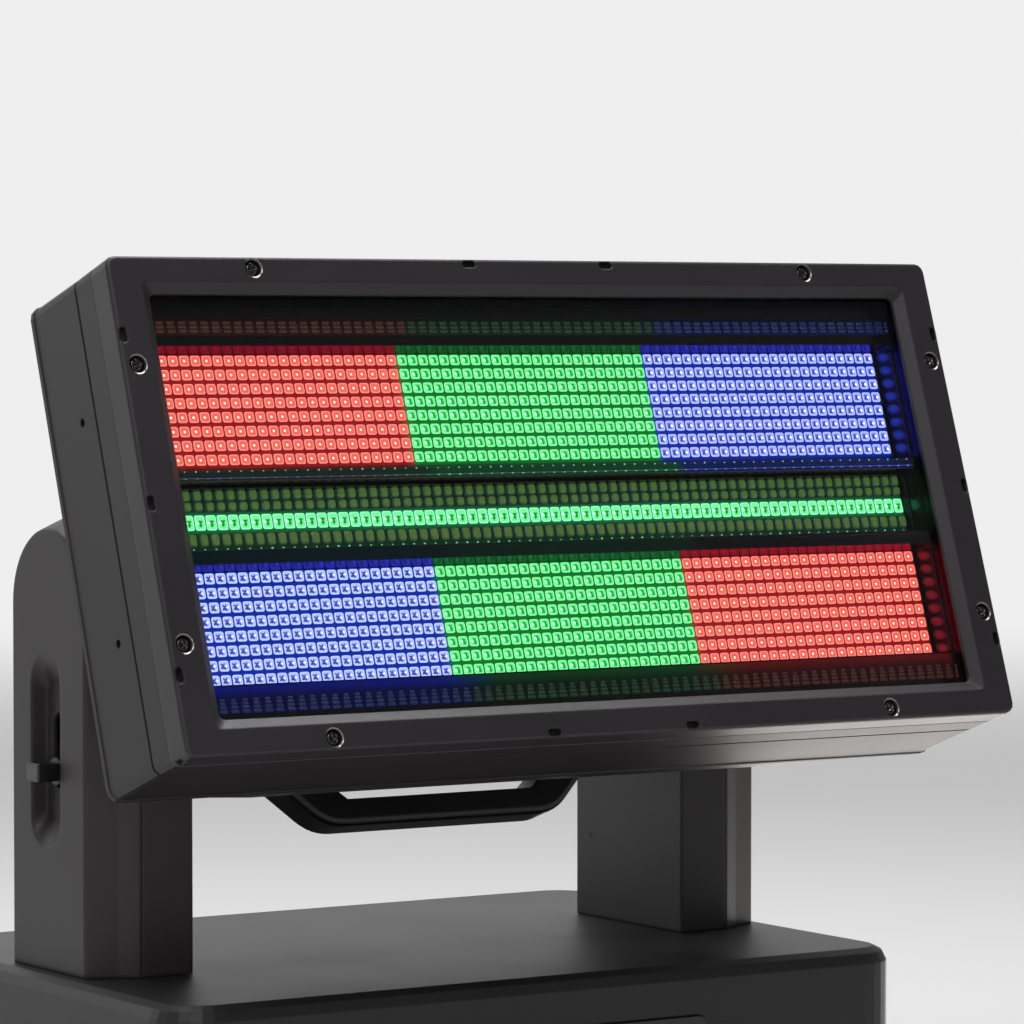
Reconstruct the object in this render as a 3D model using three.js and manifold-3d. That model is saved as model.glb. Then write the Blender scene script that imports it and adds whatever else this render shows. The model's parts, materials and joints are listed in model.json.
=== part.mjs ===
// Tilting LED strobe light: a wide, deep-bezelled head carried between two yoke arms on a floor base.
// Millimetres, +Z up, +X to the viewer's right, the lamp's face towards -Y.
// The head is modelled about its own face: X across, Y depth behind the face, Z up the face.
import * as THREE from 'three';
import { mergeVertices } from 'three/addons/utils/BufferGeometryUtils.js';
import Module from 'manifold-3d';

// Fits
const fit = 0.3;
const overrun = 1;

// Head: face, depth and where the tilt axis passes behind the face
const headWidth = 460;
const headHeight = 232;
const headCorner = 5;
const headWall = 4;
const restTiltDegrees = 18.9;
const axisDrop = 6;

// Front bezel with its bevelled window
const bezelDepth = 15.2;
const bezelPlate = 6;
const bezelWall = 2.4;
const edgeRound = 1.4;
const edgeRoundDepth = 1.8;
const windowSideBorder = 21;
const windowTopBorder = 17.2;
const windowWidth = headWidth - 2 * windowSideBorder;
const windowHeight = headHeight - 2 * windowTopBorder;
const windowBevel = 5;
const windowBevelDepth = 4;
const windowCorner = 3;

// Screws that hold the bezel, and the slots moulded near its edge
const screwTopInset = 75;
const screwTopEdge = 5.7;
const screwSideEdge = 7.5;
const screwSideInset = 51.4;
const screwTopSpacing = headWidth - 2 * screwTopInset;
const screwTopHeight = headHeight - 2 * screwTopEdge;
const screwSideSpacing = headWidth - 2 * screwSideEdge;
const screwSideHeight = headHeight - 2 * screwSideInset;
const screwHeadRadius = 3.6;
const screwHeadHeight = 1.6;
const screwShankRadius = 1.4;
const screwLength = 14;
const screwSink = 0.8;
const screwRim = 0.45;
const crossWidth = 0.8;
const crossDepth = 0.9;
const bossRadius = 3;
const slotLength = 7.4;
const slotWidth = 3.4;
const slotDepth = 3.6;
const slotEdge = 2.8;
const slotTopSpacing = 77;
const slotSideInset = 37.5;
const slotSideSpacing = headHeight - 2 * slotSideInset;
const drainWidth = 3.6;
const drainHeight = 2;
const drainDepth = 5.6;
const drainFront = 8.4;

// Glass, seal and the tray behind it
const glassThickness = 3;
const glassLap = 4;
const sealWidth = 2.2;
const traySideMargin = 2;
const trayTopMargin = 1.5;
const trayRake = 4.3;
const trayWidth = windowWidth + 2 * traySideMargin;
const trayFrontHeight = windowHeight + 2 * trayTopMargin;
const trayBackHeight = trayFrontHeight - 2 * trayRake;
const trayWall = 1.5;
const trayFace = 16;
const trayPlate = 2;
const trayFlange = 3;
const trayRim = 1.2;

// The tray's windows: the strobe row between two colour panels
const strobeWindowTop = 14;
const strobeWindowBottom = 18.4;
const upperBar = 5;
const lowerBar = 6.5;
const upperMargin = 17.9;
const lowerMargin = 15.6;
const windows = {
  upper: [strobeWindowTop + upperBar, trayBackHeight / 2 - upperMargin],
  strobe: [-strobeWindowBottom, strobeWindowTop],
  lower: [-trayBackHeight / 2 + lowerMargin, -strobeWindowBottom - lowerBar],
};
const boardLap = 1.5;
const boardWidth = trayWidth - 2 * trayWall;
const boardThickness = 1.6;
const reflectorWall = 0.9;
const reflectorRise = 5.6;

// Middle frame, rear housing and its lip
const frameBack = 31.3;
const boardFront = frameBack - boardThickness;
const shelfThickness = 3.6;
const shelfFront = frameBack - fit / 3 - shelfThickness;
const shelfLap = 9;
const housingBack = 76.5;
const lipDepth = 2.9;
const lipProud = 1.2;
const housingFlare = 0.6;
const seamDepth = 0.8;
const seamWidth = 0.6;
const housingSeamWidth = 1.4;
const lipRamp = 0.7;
const sideHoleRadius = 2.1;
const sideHoleDepth = 45;
const sideHoleInset = 64.3;
const sideHoleSpacing = headHeight - 2 * sideHoleInset;

// Heat sink
const sinkPlate = 4;
const sinkSideInset = 10;
const sinkTopInset = 9;
const sinkWidth = headWidth - 2 * sinkSideInset;
const sinkHeight = headHeight - 2 * sinkTopInset;
const finInset = 12;
const finHeight = sinkHeight - 2 * finInset;
const finReach = 31;
const finThickness = 2;
const finPitch = 16;
const finCount = 2 * Math.floor((sinkWidth - 2 * finInset) / (2 * finPitch)) + 1;

// Back cover: the wide step, the neck between the arms and the rear box
const coverEdgeInset = 4;
const stepLength = 21.5;
const neckLength = 8;
const neckInset = 93;
const boxLength = 58;
const stepDepth = housingBack + stepLength;
const neckDepth = stepDepth + neckLength;
const neckToAxis = 72.5;
const axisToBack = 43.5;
const axisDepth = neckDepth + neckToAxis;
const backDepth = axisDepth + axisToBack;
const boxDepth = backDepth - boxLength;
const neckWidth = headWidth - 2 * neckInset;
const stepSide = 17;
const stepTop = 2.5;
const neckTop = 9;
const boxTop = 42;
const stepWidth = neckWidth + 2 * stepSide;
const stepHeight = headHeight - 2 * stepTop;
const neckHeight = headHeight - 2 * neckTop;
const boxHeight = headHeight - 2 * boxTop;
const backRound = 7;
const coverWall = 3;
const coverCorner = 8;

// Driver board and fans inside the back cover
const driverInset = 19;
const driverTopInset = 14;
const driverStand = 17;
const driverWidth = neckWidth - 2 * driverInset;
const driverHeight = boxHeight - 2 * driverTopInset;
const finBack = frameBack + fit + sinkPlate + finReach;
const driverDepth = finBack + driverStand;
const chipHeight = 14;
const chipSize = 34;
const postRadius = 3;
const fanSize = 60;
const fanThickness = 15;
const fanGap = 50;
const fanSpacing = fanSize + fanGap;
const fanBore = 28;
const fanHub = 12;
const fanSpoke = 3;
const fanSpokeThickness = 3;
const bladeCount = 7;
const bladeThickness = 1.4;
const bladeTiltDegrees = 38;
const rotorThickness = 9;
const rotorPin = 2;
const grilleSlot = 4;
const grillePitch = 8;
const grilleRadius = 26;
const ventLength = 28;
const ventWidth = 3.2;
const ventPitch = 11;
const ventCount = 15;
const ventFront = axisDepth;

// Carry handle under the back cover
const handleLead = 13;
const handleFront = axisDepth - handleLead;
const handleThickness = 21.5;
const handleRise = 1;
const handleBottom = headHeight / 2 - handleRise;
const handleBar = 12.8;
const handleTopWidth = 206;
const handleShoulderWidth = 194;
const handleShoulder = 12;
const handleFootWidth = 132;
const handleFootRound = 25;
const handleFootSteps = 6;
const handleLeg = 25;
const handleHoldWidth = 106;
const handleRound = 3;

// Yoke arms
const neckClearance = 3.8;
const armFrameWidth = 27.6;
const armSlant = 9.8;
const armOuterWidth = 14.6;
const armInner = neckWidth / 2 + neckClearance;
const armSplit = armInner + armFrameWidth;
const armKnee = armSplit + armSlant;
const armOuter = armKnee + armOuterWidth;
const armRise = 9;
const armRadius = 48;
const armKneeRadius = 42.6;
const armOuterRadius = 36;
const armWall = 3;
const armInnerWall = 4;
const armFloor = 5;
const armEdge = 0.8;
const cableHoleWidth = 22;
const cableHoleLength = 40;

// Recess and lock slot in the left arm's cover
const recessWidth = 30;
const recessLength = 93;
const recessDepth = 8;
const recessBack = 2.5;
const recessCentre = 60.5;
const recessWall = 3;
const recessTaper = 1.5;
const recessRamp = 14;
const recessFloorRound = 5;
const lockSlotWidth = 15;
const lockSlotLength = 36;
const lockSlotCentre = 60.5;
const lockSlotBack = 3.5;

// Tilt lock
const driveGap = 2.6;
const lockDiscRadius = 30;
const lockDiscInner = armSplit + driveGap;
const lockDiscThickness = 4;
const notchCount = 36;
const notchDepth = 6;
const notchShare = 0.35;
const knobWidth = 12.6;
const knobHeight = 9;
const knobReach = 16;
const knobDrop = 70;
const knobBack = 0.6;
const knobCollar = 6.6;
const knobCollarHeight = 3.6;
const leverStem = 6;
const sliderWidth = 22;
const sliderHeight = 26;
const sliderThickness = 2.4;
const toothWidth = 2;
const toothLength = 6;
const toothDrop = 15;
const toothTop = lockDiscRadius + toothDrop;
const toothStemWidth = 8;
const toothThickness = 3;

// Tilt axles, bearings and belt drive
const axleRadius = 10;
const axleBore = 6;
const axleFlangeRadius = 18;
const axleFlange = 3;
const axleInset = 10.8;
const axleEnd = armOuter - axleInset;
const bearingRadius = 15;
const bearingThickness = 7;
const bearingLip = 1.2;
const bearingBoss = 3;
const pulleyInner = armSplit + driveGap;
const pulleyWidth = 9;
const pulleyTeeth = 44;
const motorTeeth = 11;
const toothPitch = 5;
const toothDepth = 1;
const beltThickness = 1.5;
const beltWidth = 7;
const motorDrop = 92;
const motorSize = 42;
const motorLength = 22;
const motorCorner = 4;
const motorShaft = 2.5;
const motorCollar = 11;
const motorCollarHeight = 2;
const pulleyHub = 6;

// Base
const footHeight = 12;
const footRadius = 17;
const footTaper = 2;
const footInsetX = 40;
const footInsetY = 34;
const baseSide = 13.2;
const baseWidth = 2 * (armOuter + baseSide);
const baseDepth = 300;
const baseHeight = 95;
const baseCorner = 26;
const baseChamfer = 7;
const baseWall = 3;
const basePlateThickness = 2.5;
const headClearance = 49;
const axisAboveBase = headHeight / 2 + headClearance;

// Control panel on the base's front
const panelWidth = 168;
const panelHeight = 54;
const panelCorner = 5;
const panelThickness = 3;
const panelRecess = 2;
const panelDrop = 4;
const displayWidth = 66;
const displayHeight = 30;
const displayOffset = 34;
const displayThickness = 2;
const buttonSize = 11;
const buttonPitch = 17;
const buttonOffset = 38;
const buttonReach = 6;
const buttonProud = 2.4;
const buttonCap = 1.6;

// Sockets on the base's back
const socketRaiseShare = 0.5;
const socketSide = 51;
const socketCount = 6;
const socketStart = baseWidth / 2 - socketSide;
const socketPitch = (2 * socketStart) / (socketCount - 1);
const powerFlange = 26;
const powerFlangeHeight = 31;
const flangeThickness = 2.5;
const powerRadius = 11.5;
const dataRadius = 10;
const socketBody = 24;
const socketBore = 15;
const keyWidth = 3;
const fuseRadius = 8;
const fuseProud = 5;
const fuseBody = 28;
const fuseFlange = 10;
const socketCorner = 3;
const eyeWidth = 34;
const eyeReach = 15;
const eyeRod = 4;
const eyeBend = 8;
const eyeFoot = 6;
const eyeDrop = 18;

// Electronics in the base
const supplyInset = 16;
const supplyWidth = baseWidth / 2 - supplyInset;
const supplyDepth = 110;
const supplyHeight = 34;
const supplySide = 38;
const supplyX = baseWidth / 2 - supplySide - supplyWidth / 2;
const supplyY = 20;
const mainBoardInset = 96;
const mainBoardWidth = baseWidth / 2 - mainBoardInset;
const mainBoardDepth = 150;
const mainBoardSide = 36;
const mainBoardX = baseWidth / 2 - mainBoardSide - mainBoardWidth / 2;
const mainBoardY = 10;
const standoff = 8;

const arcSteps = 3;
const wideSteps = 7;
const roundSteps = 28;
const smallSteps = 10;

const wasm = await Module();
wasm.setup();

const finishes = {
  black_paint: { color: 0x36343a, roughness: 0.55, metalness: 0.1 },
  arm_paint: { color: 0x3a383d, roughness: 0.6, metalness: 0.1 },
  gloss_black: { color: 0x0a0a0c, roughness: 0.12, metalness: 0 },
  matte_plastic: { color: 0x202022, roughness: 0.65, metalness: 0 },
  rubber: { color: 0x141414, roughness: 0.9, metalness: 0 },
  glass: { color: 0x9fb3b8, roughness: 0.05, metalness: 0, transparent: true, opacity: 0.25 },
  aluminium: { color: 0xa9abad, roughness: 0.4, metalness: 0.9 },
  steel: { color: 0x8b8c8f, roughness: 0.35, metalness: 0.95 },
  dark_steel: { color: 0x1c1c1f, roughness: 0.35, metalness: 0.8 },
  red_board: { color: 0x3a0b10, roughness: 0.5, metalness: 0 },
  board: { color: 0x12351f, roughness: 0.5, metalness: 0 },
  display: { color: 0x0c1a2a, roughness: 0.1, metalness: 0 },
};

// Outlines, as lists of points that run anticlockwise
const point = (x, y) => new THREE.Vector2(x, y);

function arc(cx, cy, radius, from, to, steps) {
  const points = [];
  for (let i = 0; i <= steps; i += 1) {
    const angle = THREE.MathUtils.degToRad(from + ((to - from) * i) / steps);
    points.push(point(cx + radius * Math.cos(angle), cy + radius * Math.sin(angle)));
  }
  return points;
}

function roundedRect(width, height, radius, steps = arcSteps) {
  const x = width / 2 - radius;
  const y = height / 2 - radius;
  return [
    ...arc(x, y, radius, 0, 90, steps),
    ...arc(-x, y, radius, 90, 180, steps),
    ...arc(-x, -y, radius, 180, 270, steps),
    ...arc(x, -y, radius, 270, 360, steps),
  ];
}

const circle = (radius, steps = roundSteps) => arc(0, 0, radius, 0, 360, steps).slice(1);

const moved = (points, dx, dy) => points.map((p) => point(p.x + dx, p.y + dy));

// An arm's upright arch: a round top about a centre above the axle, straight down to a foot
const arch = (radius, foot) => [
  point(radius, -foot),
  ...arc(0, armRise, radius, 0, 180, roundSteps),
  point(-radius, -foot),
];

// A wheel rim with teeth or notches, as a share of each step that stands at full radius
function toothed(outer, inner, count, share) {
  const points = [];
  for (let i = 0; i < count; i += 1) {
    const middle = (360 * i) / count;
    const half = 180 / count;
    const low = middle + half * (1 - share);
    const high = middle + half * (1 + share);
    points.push(...arc(0, 0, inner, middle - half * (1 - share), low, 1));
    points.push(...arc(0, 0, outer, low, high, 1));
  }
  return points;
}

// Solids
const directions = {
  x: [point3(0, 1, 0), point3(0, 0, 1), point3(1, 0, 0)],
  y: [point3(1, 0, 0), point3(0, 0, 1), point3(0, -1, 0)],
  z: [point3(1, 0, 0), point3(0, 1, 0), point3(0, 0, 1)],
};

function point3(x, y, z) {
  return new THREE.Vector3(x, y, z);
}

// An outline with optional holes, swept straight along one axis from low to high
function prism(outline, axis, low, high, holes = []) {
  const shape = new THREE.Shape(outline);
  shape.holes = holes.map((hole) => new THREE.Path(hole));
  const geometry = new THREE.ExtrudeGeometry(shape, { depth: high - low, bevelEnabled: false, steps: 1 });
  geometry.applyMatrix4(new THREE.Matrix4().makeBasis(...directions[axis]));
  const start = axis === 'y' ? high : low;
  return geometry.translate(axis === 'x' ? start : 0, axis === 'y' ? start : 0, axis === 'z' ? start : 0);
}

const box = (x0, x1, y0, y1, z0, z1) =>
  new THREE.BoxGeometry(x1 - x0, y1 - y0, z1 - z0).translate((x0 + x1) / 2, (y0 + y1) / 2, (z0 + z1) / 2);

// A skin through outlines with the same number of points, capped at both ends
function loft(axis, sections) {
  const place = {
    x: (p, at) => [at, p.x, p.y],
    y: (p, at) => [p.x, at, p.y],
    z: (p, at) => [p.x, p.y, at],
  }[axis];
  const count = sections[0].outline.length;
  const positions = [];
  const index = [];
  sections.forEach(({ at, outline }) => outline.forEach((p) => positions.push(...place(p, at))));
  for (let s = 0; s + 1 < sections.length; s += 1) {
    for (let i = 0; i < count; i += 1) {
      const a = s * count + i;
      const b = s * count + ((i + 1) % count);
      index.push(a, b, b + count, a, b + count, a + count);
    }
  }
  [0, sections.length - 1].forEach((s) => {
    const { at, outline } = sections[s];
    const middle = outline.reduce((sum, p) => sum.add(p), point(0, 0)).divideScalar(count);
    const hub = positions.length / 3;
    positions.push(...place(middle, at));
    for (let i = 0; i < count; i += 1) {
      const a = s * count + i;
      const b = s * count + ((i + 1) % count);
      index.push(...(s === 0 ? [hub, b, a] : [hub, a, b]));
    }
  });
  const geometry = new THREE.BufferGeometry();
  geometry.setAttribute('position', new THREE.Float32BufferAttribute(positions, 3));
  geometry.setIndex(axis === 'y' ? index.reverse() : index);
  return geometry;
}

function toSolid(geometry) {
  const bare = geometry.clone();
  bare.deleteAttribute('normal');
  bare.deleteAttribute('uv');
  const merged = mergeVertices(bare);
  return new wasm.Manifold(
    new wasm.Mesh({
      numProp: 3,
      vertProperties: Float32Array.from(merged.attributes.position.array),
      triVerts: Uint32Array.from(merged.index.array),
    }),
  );
}

function toGeometry(solid) {
  const mesh = solid.getMesh();
  const geometry = new THREE.BufferGeometry();
  geometry.setAttribute('position', new THREE.BufferAttribute(mesh.vertProperties, 3));
  geometry.setIndex(new THREE.BufferAttribute(mesh.triVerts, 1));
  geometry.computeVertexNormals();
  return geometry;
}

const cut = (body, tools) =>
  toGeometry(tools.reduce((solid, tool) => solid.subtract(toSolid(tool)), toSolid(body)));

const join = (bodies) => toGeometry(bodies.slice(1).reduce((solid, body) => solid.add(toSolid(body)), toSolid(bodies[0])));

// A round bar or ring about the X axis, from a closed profile of [radius, x] pairs
function turnedX(profile, steps = roundSteps) {
  const points = profile.map(([radius, x]) => point(radius, x));
  return new THREE.LatheGeometry(points, steps).rotateZ(-Math.PI / 2);
}

const tube = (inner, outer, low, high) =>
  turnedX([[inner, low], [outer, low], [outer, high], [inner, high], [inner, low]]);

const rod = (radius, axis, low, high, steps = roundSteps) => prism(circle(radius, steps), axis, low, high);

const mirrored = (side, low, high) => (side > 0 ? [low, high] : [-high, -low]);

// Scene graph
const light = new THREE.Group();
const tilting = new THREE.Group();
const face = new THREE.Group();
const axisHeight = footHeight + baseHeight + axisAboveBase;
const restTilt = THREE.MathUtils.degToRad(restTiltDegrees);
const frontReach =
  (headHeight / 2 - edgeRound - axisDrop) * Math.sin(restTilt) + axisDepth * Math.cos(restTilt);
const backReach = baseDepth / 2 + eyeReach;
light.position.y = (frontReach - backReach) / 2;
tilting.position.z = axisHeight;
tilting.rotation.x = -restTilt;
face.position.set(0, -axisDepth, axisDrop);
light.add(tilting);
tilting.add(face);

function piece(name, geometry, finish, parent) {
  const mesh = new THREE.Mesh(geometry, new THREE.MeshStandardMaterial(finishes[finish]));
  mesh.name = name;
  parent.add(mesh);
  return mesh;
}

// Places of the eight bezel screws
const screwPlaces = [
  [-screwTopSpacing / 2, screwTopHeight / 2],
  [screwTopSpacing / 2, screwTopHeight / 2],
  [-screwTopSpacing / 2, -screwTopHeight / 2],
  [screwTopSpacing / 2, -screwTopHeight / 2],
  [-screwSideSpacing / 2, screwSideHeight / 2],
  [-screwSideSpacing / 2, -screwSideHeight / 2],
  [screwSideSpacing / 2, screwSideHeight / 2],
  [screwSideSpacing / 2, -screwSideHeight / 2],
];

const headOutline = (grow = 0) => roundedRect(headWidth + 2 * grow, headHeight + 2 * grow, headCorner + grow);

function frontBezel() {
  const body = loft('y', [
    { at: 0, outline: headOutline(-edgeRound) },
    { at: edgeRoundDepth / 3, outline: headOutline(-edgeRound / 3) },
    { at: edgeRoundDepth, outline: headOutline() },
    { at: bezelDepth, outline: headOutline() },
  ]);
  const opening = (grow) => roundedRect(windowWidth + 2 * grow, windowHeight + 2 * grow, windowCorner);
  const slope = windowBevel / windowBevelDepth;
  const bevel = loft('y', [
    { at: -overrun, outline: opening(windowBevel + overrun * slope) },
    { at: windowBevelDepth, outline: opening(0) },
    { at: bezelPlate + overrun, outline: opening(0) },
  ]);
  const hollow = prism(headOutline(-bezelWall), 'y', bezelPlate, bezelDepth + overrun);
  const sinkOutline = (grow) => circle(screwHeadRadius + fit + grow, roundSteps / 2);
  const screwSeat = () =>
    loft('y', [
      { at: -overrun, outline: sinkOutline(screwRim + overrun) },
      { at: screwRim, outline: sinkOutline(0) },
      { at: screwSink + screwHeadHeight + fit, outline: sinkOutline(0) },
    ]);
  const holes = screwPlaces.flatMap(([x, z]) => [
    screwSeat().translate(x, 0, z),
    rod(screwShankRadius + fit, 'y', 0, bezelPlate + overrun, smallSteps).translate(x, 0, z),
  ]);
  const flatSlot = roundedRect(slotLength, slotWidth, slotWidth / 2);
  const uprightSlot = roundedRect(slotWidth, slotLength, slotWidth / 2);
  const slotX = headWidth / 2 - slotEdge;
  const slotZ = headHeight / 2 - slotEdge;
  const slots = [];
  [-1, 1].forEach((side) => {
    [-1, 1].forEach((end) => {
      slots.push(prism(moved(flatSlot, (end * slotTopSpacing) / 2, side * slotZ), 'y', -overrun, slotDepth));
    });
    [-1, 0, 1].forEach((step) => {
      slots.push(prism(moved(uprightSlot, side * slotX, (step * slotSideSpacing) / 2), 'y', -overrun, slotDepth));
    });
    const corner = (side * headWidth) / 2;
    slots.push(
      box(
        corner - drainWidth,
        corner + drainWidth,
        drainFront,
        drainFront + drainDepth,
        -headHeight / 2 - drainWidth,
        -headHeight / 2 + drainHeight,
      ),
    );
  });
  return cut(body, [hollow, bevel, ...holes, ...slots]);
}

function bezelScrew() {
  const head = rod(screwHeadRadius, 'y', 0, screwHeadHeight, roundSteps / 2);
  const shank = rod(screwShankRadius, 'y', screwHeadHeight / 2, screwLength, smallSteps);
  const reach = screwHeadRadius * 0.6;
  const bars = [
    box(-reach, reach, -overrun, crossDepth, -crossWidth / 2, crossWidth / 2),
    box(-crossWidth / 2, crossWidth / 2, -overrun, crossDepth, -reach, reach),
  ];
  return cut(join([head, shank]), bars);
}

// Glass and its seal sit against the back of the bezel plate
const glassFront = bezelPlate + fit;
const glassBack = glassFront + glassThickness;
const glassOutline = (grow) => {
  const lap = 2 * (glassLap + grow);
  return roundedRect(windowWidth + lap, windowHeight + lap, windowCorner + glassLap + grow);
};

// The tray behind the glass: its top and bottom walls lean in to a plate, which has three windows with deep rims
const windowShape = ([low, high], grow) => {
  const width = trayWidth - trayWall + 2 * grow;
  return moved(roundedRect(width, high - low + 2 * grow, windowCorner / 2), 0, (low + high) / 2);
};

function ledBaffle() {
  const front = glassBack + fit;
  const back = shelfFront - fit;
  const outline = (height, grow) => roundedRect(trayWidth + 2 * grow, height + 2 * grow, windowCorner + grow);
  const shell = prism(outline(trayFrontHeight, trayWall), 'y', front, back);
  const flange = prism(outline(trayFrontHeight, trayWall + trayFlange), 'y', back - trayPlate, back);
  const slope = trayRake / (trayFace - front);
  const hollow = loft('y', [
    { at: front - overrun, outline: outline(trayFrontHeight + 2 * overrun * slope, 0) },
    { at: trayFace, outline: outline(trayBackHeight, 0) },
  ]);
  const behind = prism(outline(trayBackHeight, 0), 'y', trayFace + trayPlate, back + overrun);
  const rims = Object.values(windows).map((span) =>
    prism(windowShape(span, trayRim), 'y', trayFace + trayPlate / 2, boardFront - fit),
  );
  const ways = Object.values(windows).map((span) =>
    prism(windowShape(span, 0), 'y', trayFace - overrun, boardFront + overrun),
  );
  return cut(join([cut(join([shell, flange]), [hollow, behind]), ...rims]), ways);
}

function lightBoard([low, high]) {
  const outline = roundedRect(boardWidth, high - low + 2 * boardLap, windowCorner / 2);
  return prism(moved(outline, 0, (low + high) / 2), 'y', boardFront, frameBack);
}

// A low rim round the strobe row, carried on its board
function strobeReflector() {
  const back = boardFront - fit;
  const outer = windowShape(windows.strobe, -fit);
  const inner = windowShape(windows.strobe, -fit - reflectorWall);
  return prism(outer, 'y', back - reflectorRise, back, [inner]);
}

function headFrame() {
  const front = bezelDepth + fit;
  const ring = loft('y', [
    { at: front, outline: headOutline(-seamDepth) },
    { at: front + seamWidth, outline: headOutline(-seamDepth) },
    { at: front + seamWidth + fit / 3, outline: headOutline() },
    { at: frameBack, outline: headOutline() },
  ]);
  const hollow = prism(headOutline(-headWall), 'y', front - overrun, frameBack + overrun);
  const shelf = prism(headOutline(-headWall / 2), 'y', shelfFront, frameBack - fit / 3, [
    headOutline(-headWall - shelfLap),
  ]);
  const bosses = screwPlaces.map(([x, z]) =>
    rod(bossRadius, 'y', glassFront, shelfFront + overrun, smallSteps).translate(x, 0, z),
  );
  const bores = screwPlaces.map(([x, z]) =>
    rod(screwShankRadius + fit, 'y', 0, screwSink + screwLength + fit, smallSteps).translate(x, 0, z),
  );
  return cut(join([cut(ring, [hollow]), shelf, ...bosses]), bores);
}

function rearHousing() {
  const front = frameBack + fit;
  const body = loft('y', [
    { at: front, outline: headOutline(-seamDepth) },
    { at: front + housingSeamWidth, outline: headOutline(-seamDepth) },
    { at: front + housingSeamWidth + fit / 3, outline: headOutline() },
    { at: housingBack - lipDepth - lipRamp, outline: headOutline(housingFlare) },
    { at: housingBack - lipDepth, outline: headOutline(lipProud) },
    { at: housingBack - fit, outline: headOutline(lipProud) },
    { at: housingBack, outline: headOutline(lipProud - fit) },
  ]);
  const hollow = prism(headOutline(-headWall), 'y', frameBack, housingBack + overrun);
  const holes = [-1, 1].map((end) =>
    rod(sideHoleRadius, 'x', -headWidth, headWidth, smallSteps).translate(0, sideHoleDepth, (end * sideHoleSpacing) / 2),
  );
  return cut(body, [hollow, ...holes]);
}

function heatSink() {
  const front = frameBack + fit;
  const plateBack = front + sinkPlate;
  const plate = prism(roundedRect(sinkWidth, sinkHeight, headCorner), 'y', front, plateBack);
  const fins = [];
  for (let i = 0; i < finCount; i += 1) {
    const x = (i - (finCount - 1) / 2) * finPitch;
    const half = finThickness / 2;
    fins.push(box(x - half, x + half, plateBack - overrun, plateBack + finReach, -finHeight / 2, finHeight / 2));
  }
  return join([plate, ...fins]);
}

// The back cover's sections, each grown by the same wall for its hollow
function coverSections(grow) {
  const outline = (width, height) => roundedRect(width + 2 * grow, height + 2 * grow, coverCorner + grow);
  const edge = coverEdgeInset;
  return [
    { at: housingBack + fit, outline: outline(headWidth - 2 * edge, headHeight - edge / 2) },
    { at: stepDepth + grow, outline: outline(stepWidth, stepHeight) },
    { at: neckDepth + grow, outline: outline(neckWidth, neckHeight) },
    { at: boxDepth + grow, outline: outline(neckWidth, boxHeight) },
    { at: backDepth - backRound + grow, outline: outline(neckWidth, boxHeight) },
    { at: backDepth + grow, outline: outline(neckWidth - 2 * backRound, boxHeight - 2 * backRound) },
  ];
}

function backCover() {
  const body = loft('y', coverSections(0));
  const inside = coverSections(-coverWall);
  inside[0].at -= overrun;
  const grille = [];
  [-1, 1].forEach((side) => {
    for (let x = -3 * grillePitch; x <= 3 * grillePitch; x += grillePitch) {
      const half = Math.sqrt(grilleRadius ** 2 - x ** 2) - grilleSlot / 2;
      const slot = roundedRect(grilleSlot, 2 * half + grilleSlot, grilleSlot / 2);
      grille.push(
        prism(moved(slot, (side * fanSpacing) / 2 + x, 0), 'y', backDepth - coverWall - overrun, backDepth + overrun),
      );
    }
  });
  const vents = [];
  for (let i = 0; i < ventCount; i += 1) {
    const x = (i - (ventCount - 1) / 2) * ventPitch;
    const slot = roundedRect(ventWidth, ventLength, ventWidth / 2);
    vents.push(
      prism(moved(slot, x, ventFront + ventLength / 2), 'z', boxHeight / 2 - coverWall - overrun, boxHeight / 2 + overrun),
    );
  }
  const bore = rod(axleRadius + fit, 'x', -neckWidth, neckWidth).translate(0, axisDepth, -axisDrop);
  return cut(body, [loft('y', inside), ...grille, ...vents, bore]);
}

// The driver board stands on posts that bear on the heat sink's fins
function driverBoard() {
  const back = finBack + fit;
  const board = box(-driverWidth / 2, driverWidth / 2, driverDepth, driverDepth + boardThickness, -driverHeight / 2, driverHeight / 2);
  const postX = (Math.floor(driverWidth / 2 / finPitch) - 1 / 2) * finPitch - finPitch / 2;
  const postZ = driverHeight / 2 - 2 * postRadius;
  const posts = [-1, 1].flatMap((i) =>
    [-1, 1].map((k) =>
      rod(postRadius, 'y', back, driverDepth + boardThickness / 2, smallSteps).translate(i * postX, 0, k * postZ),
    ),
  );
  const chips = [-1, 0, 1].map((i) => {
    const x = i * chipSize * 2;
    const top = driverDepth + boardThickness + chipHeight;
    return box(x - chipSize / 2, x + chipSize / 2, driverDepth + boardThickness / 2, top, -chipSize, chipSize / 2);
  });
  return join([board, ...posts, ...chips]);
}

const fanBack = backDepth - coverWall - fit;
const fanFront = fanBack - fanThickness;

function fanFrame() {
  const frame = prism(roundedRect(fanSize, fanSize, socketCorner), 'y', fanFront, fanBack, [circle(fanBore)]);
  const hub = rod(fanHub, 'y', fanFront, fanFront + fanSpokeThickness);
  const pin = rod(rotorPin, 'y', fanFront, fanBack - fanSpokeThickness, smallSteps);
  const reach = fanBore + overrun;
  const spokes = [
    box(-reach, reach, fanFront, fanFront + fanSpokeThickness, -fanSpoke / 2, fanSpoke / 2),
    box(-fanSpoke / 2, fanSpoke / 2, fanFront, fanFront + fanSpokeThickness, -reach, reach),
  ];
  return join([frame, hub, pin, ...spokes]);
}

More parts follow.
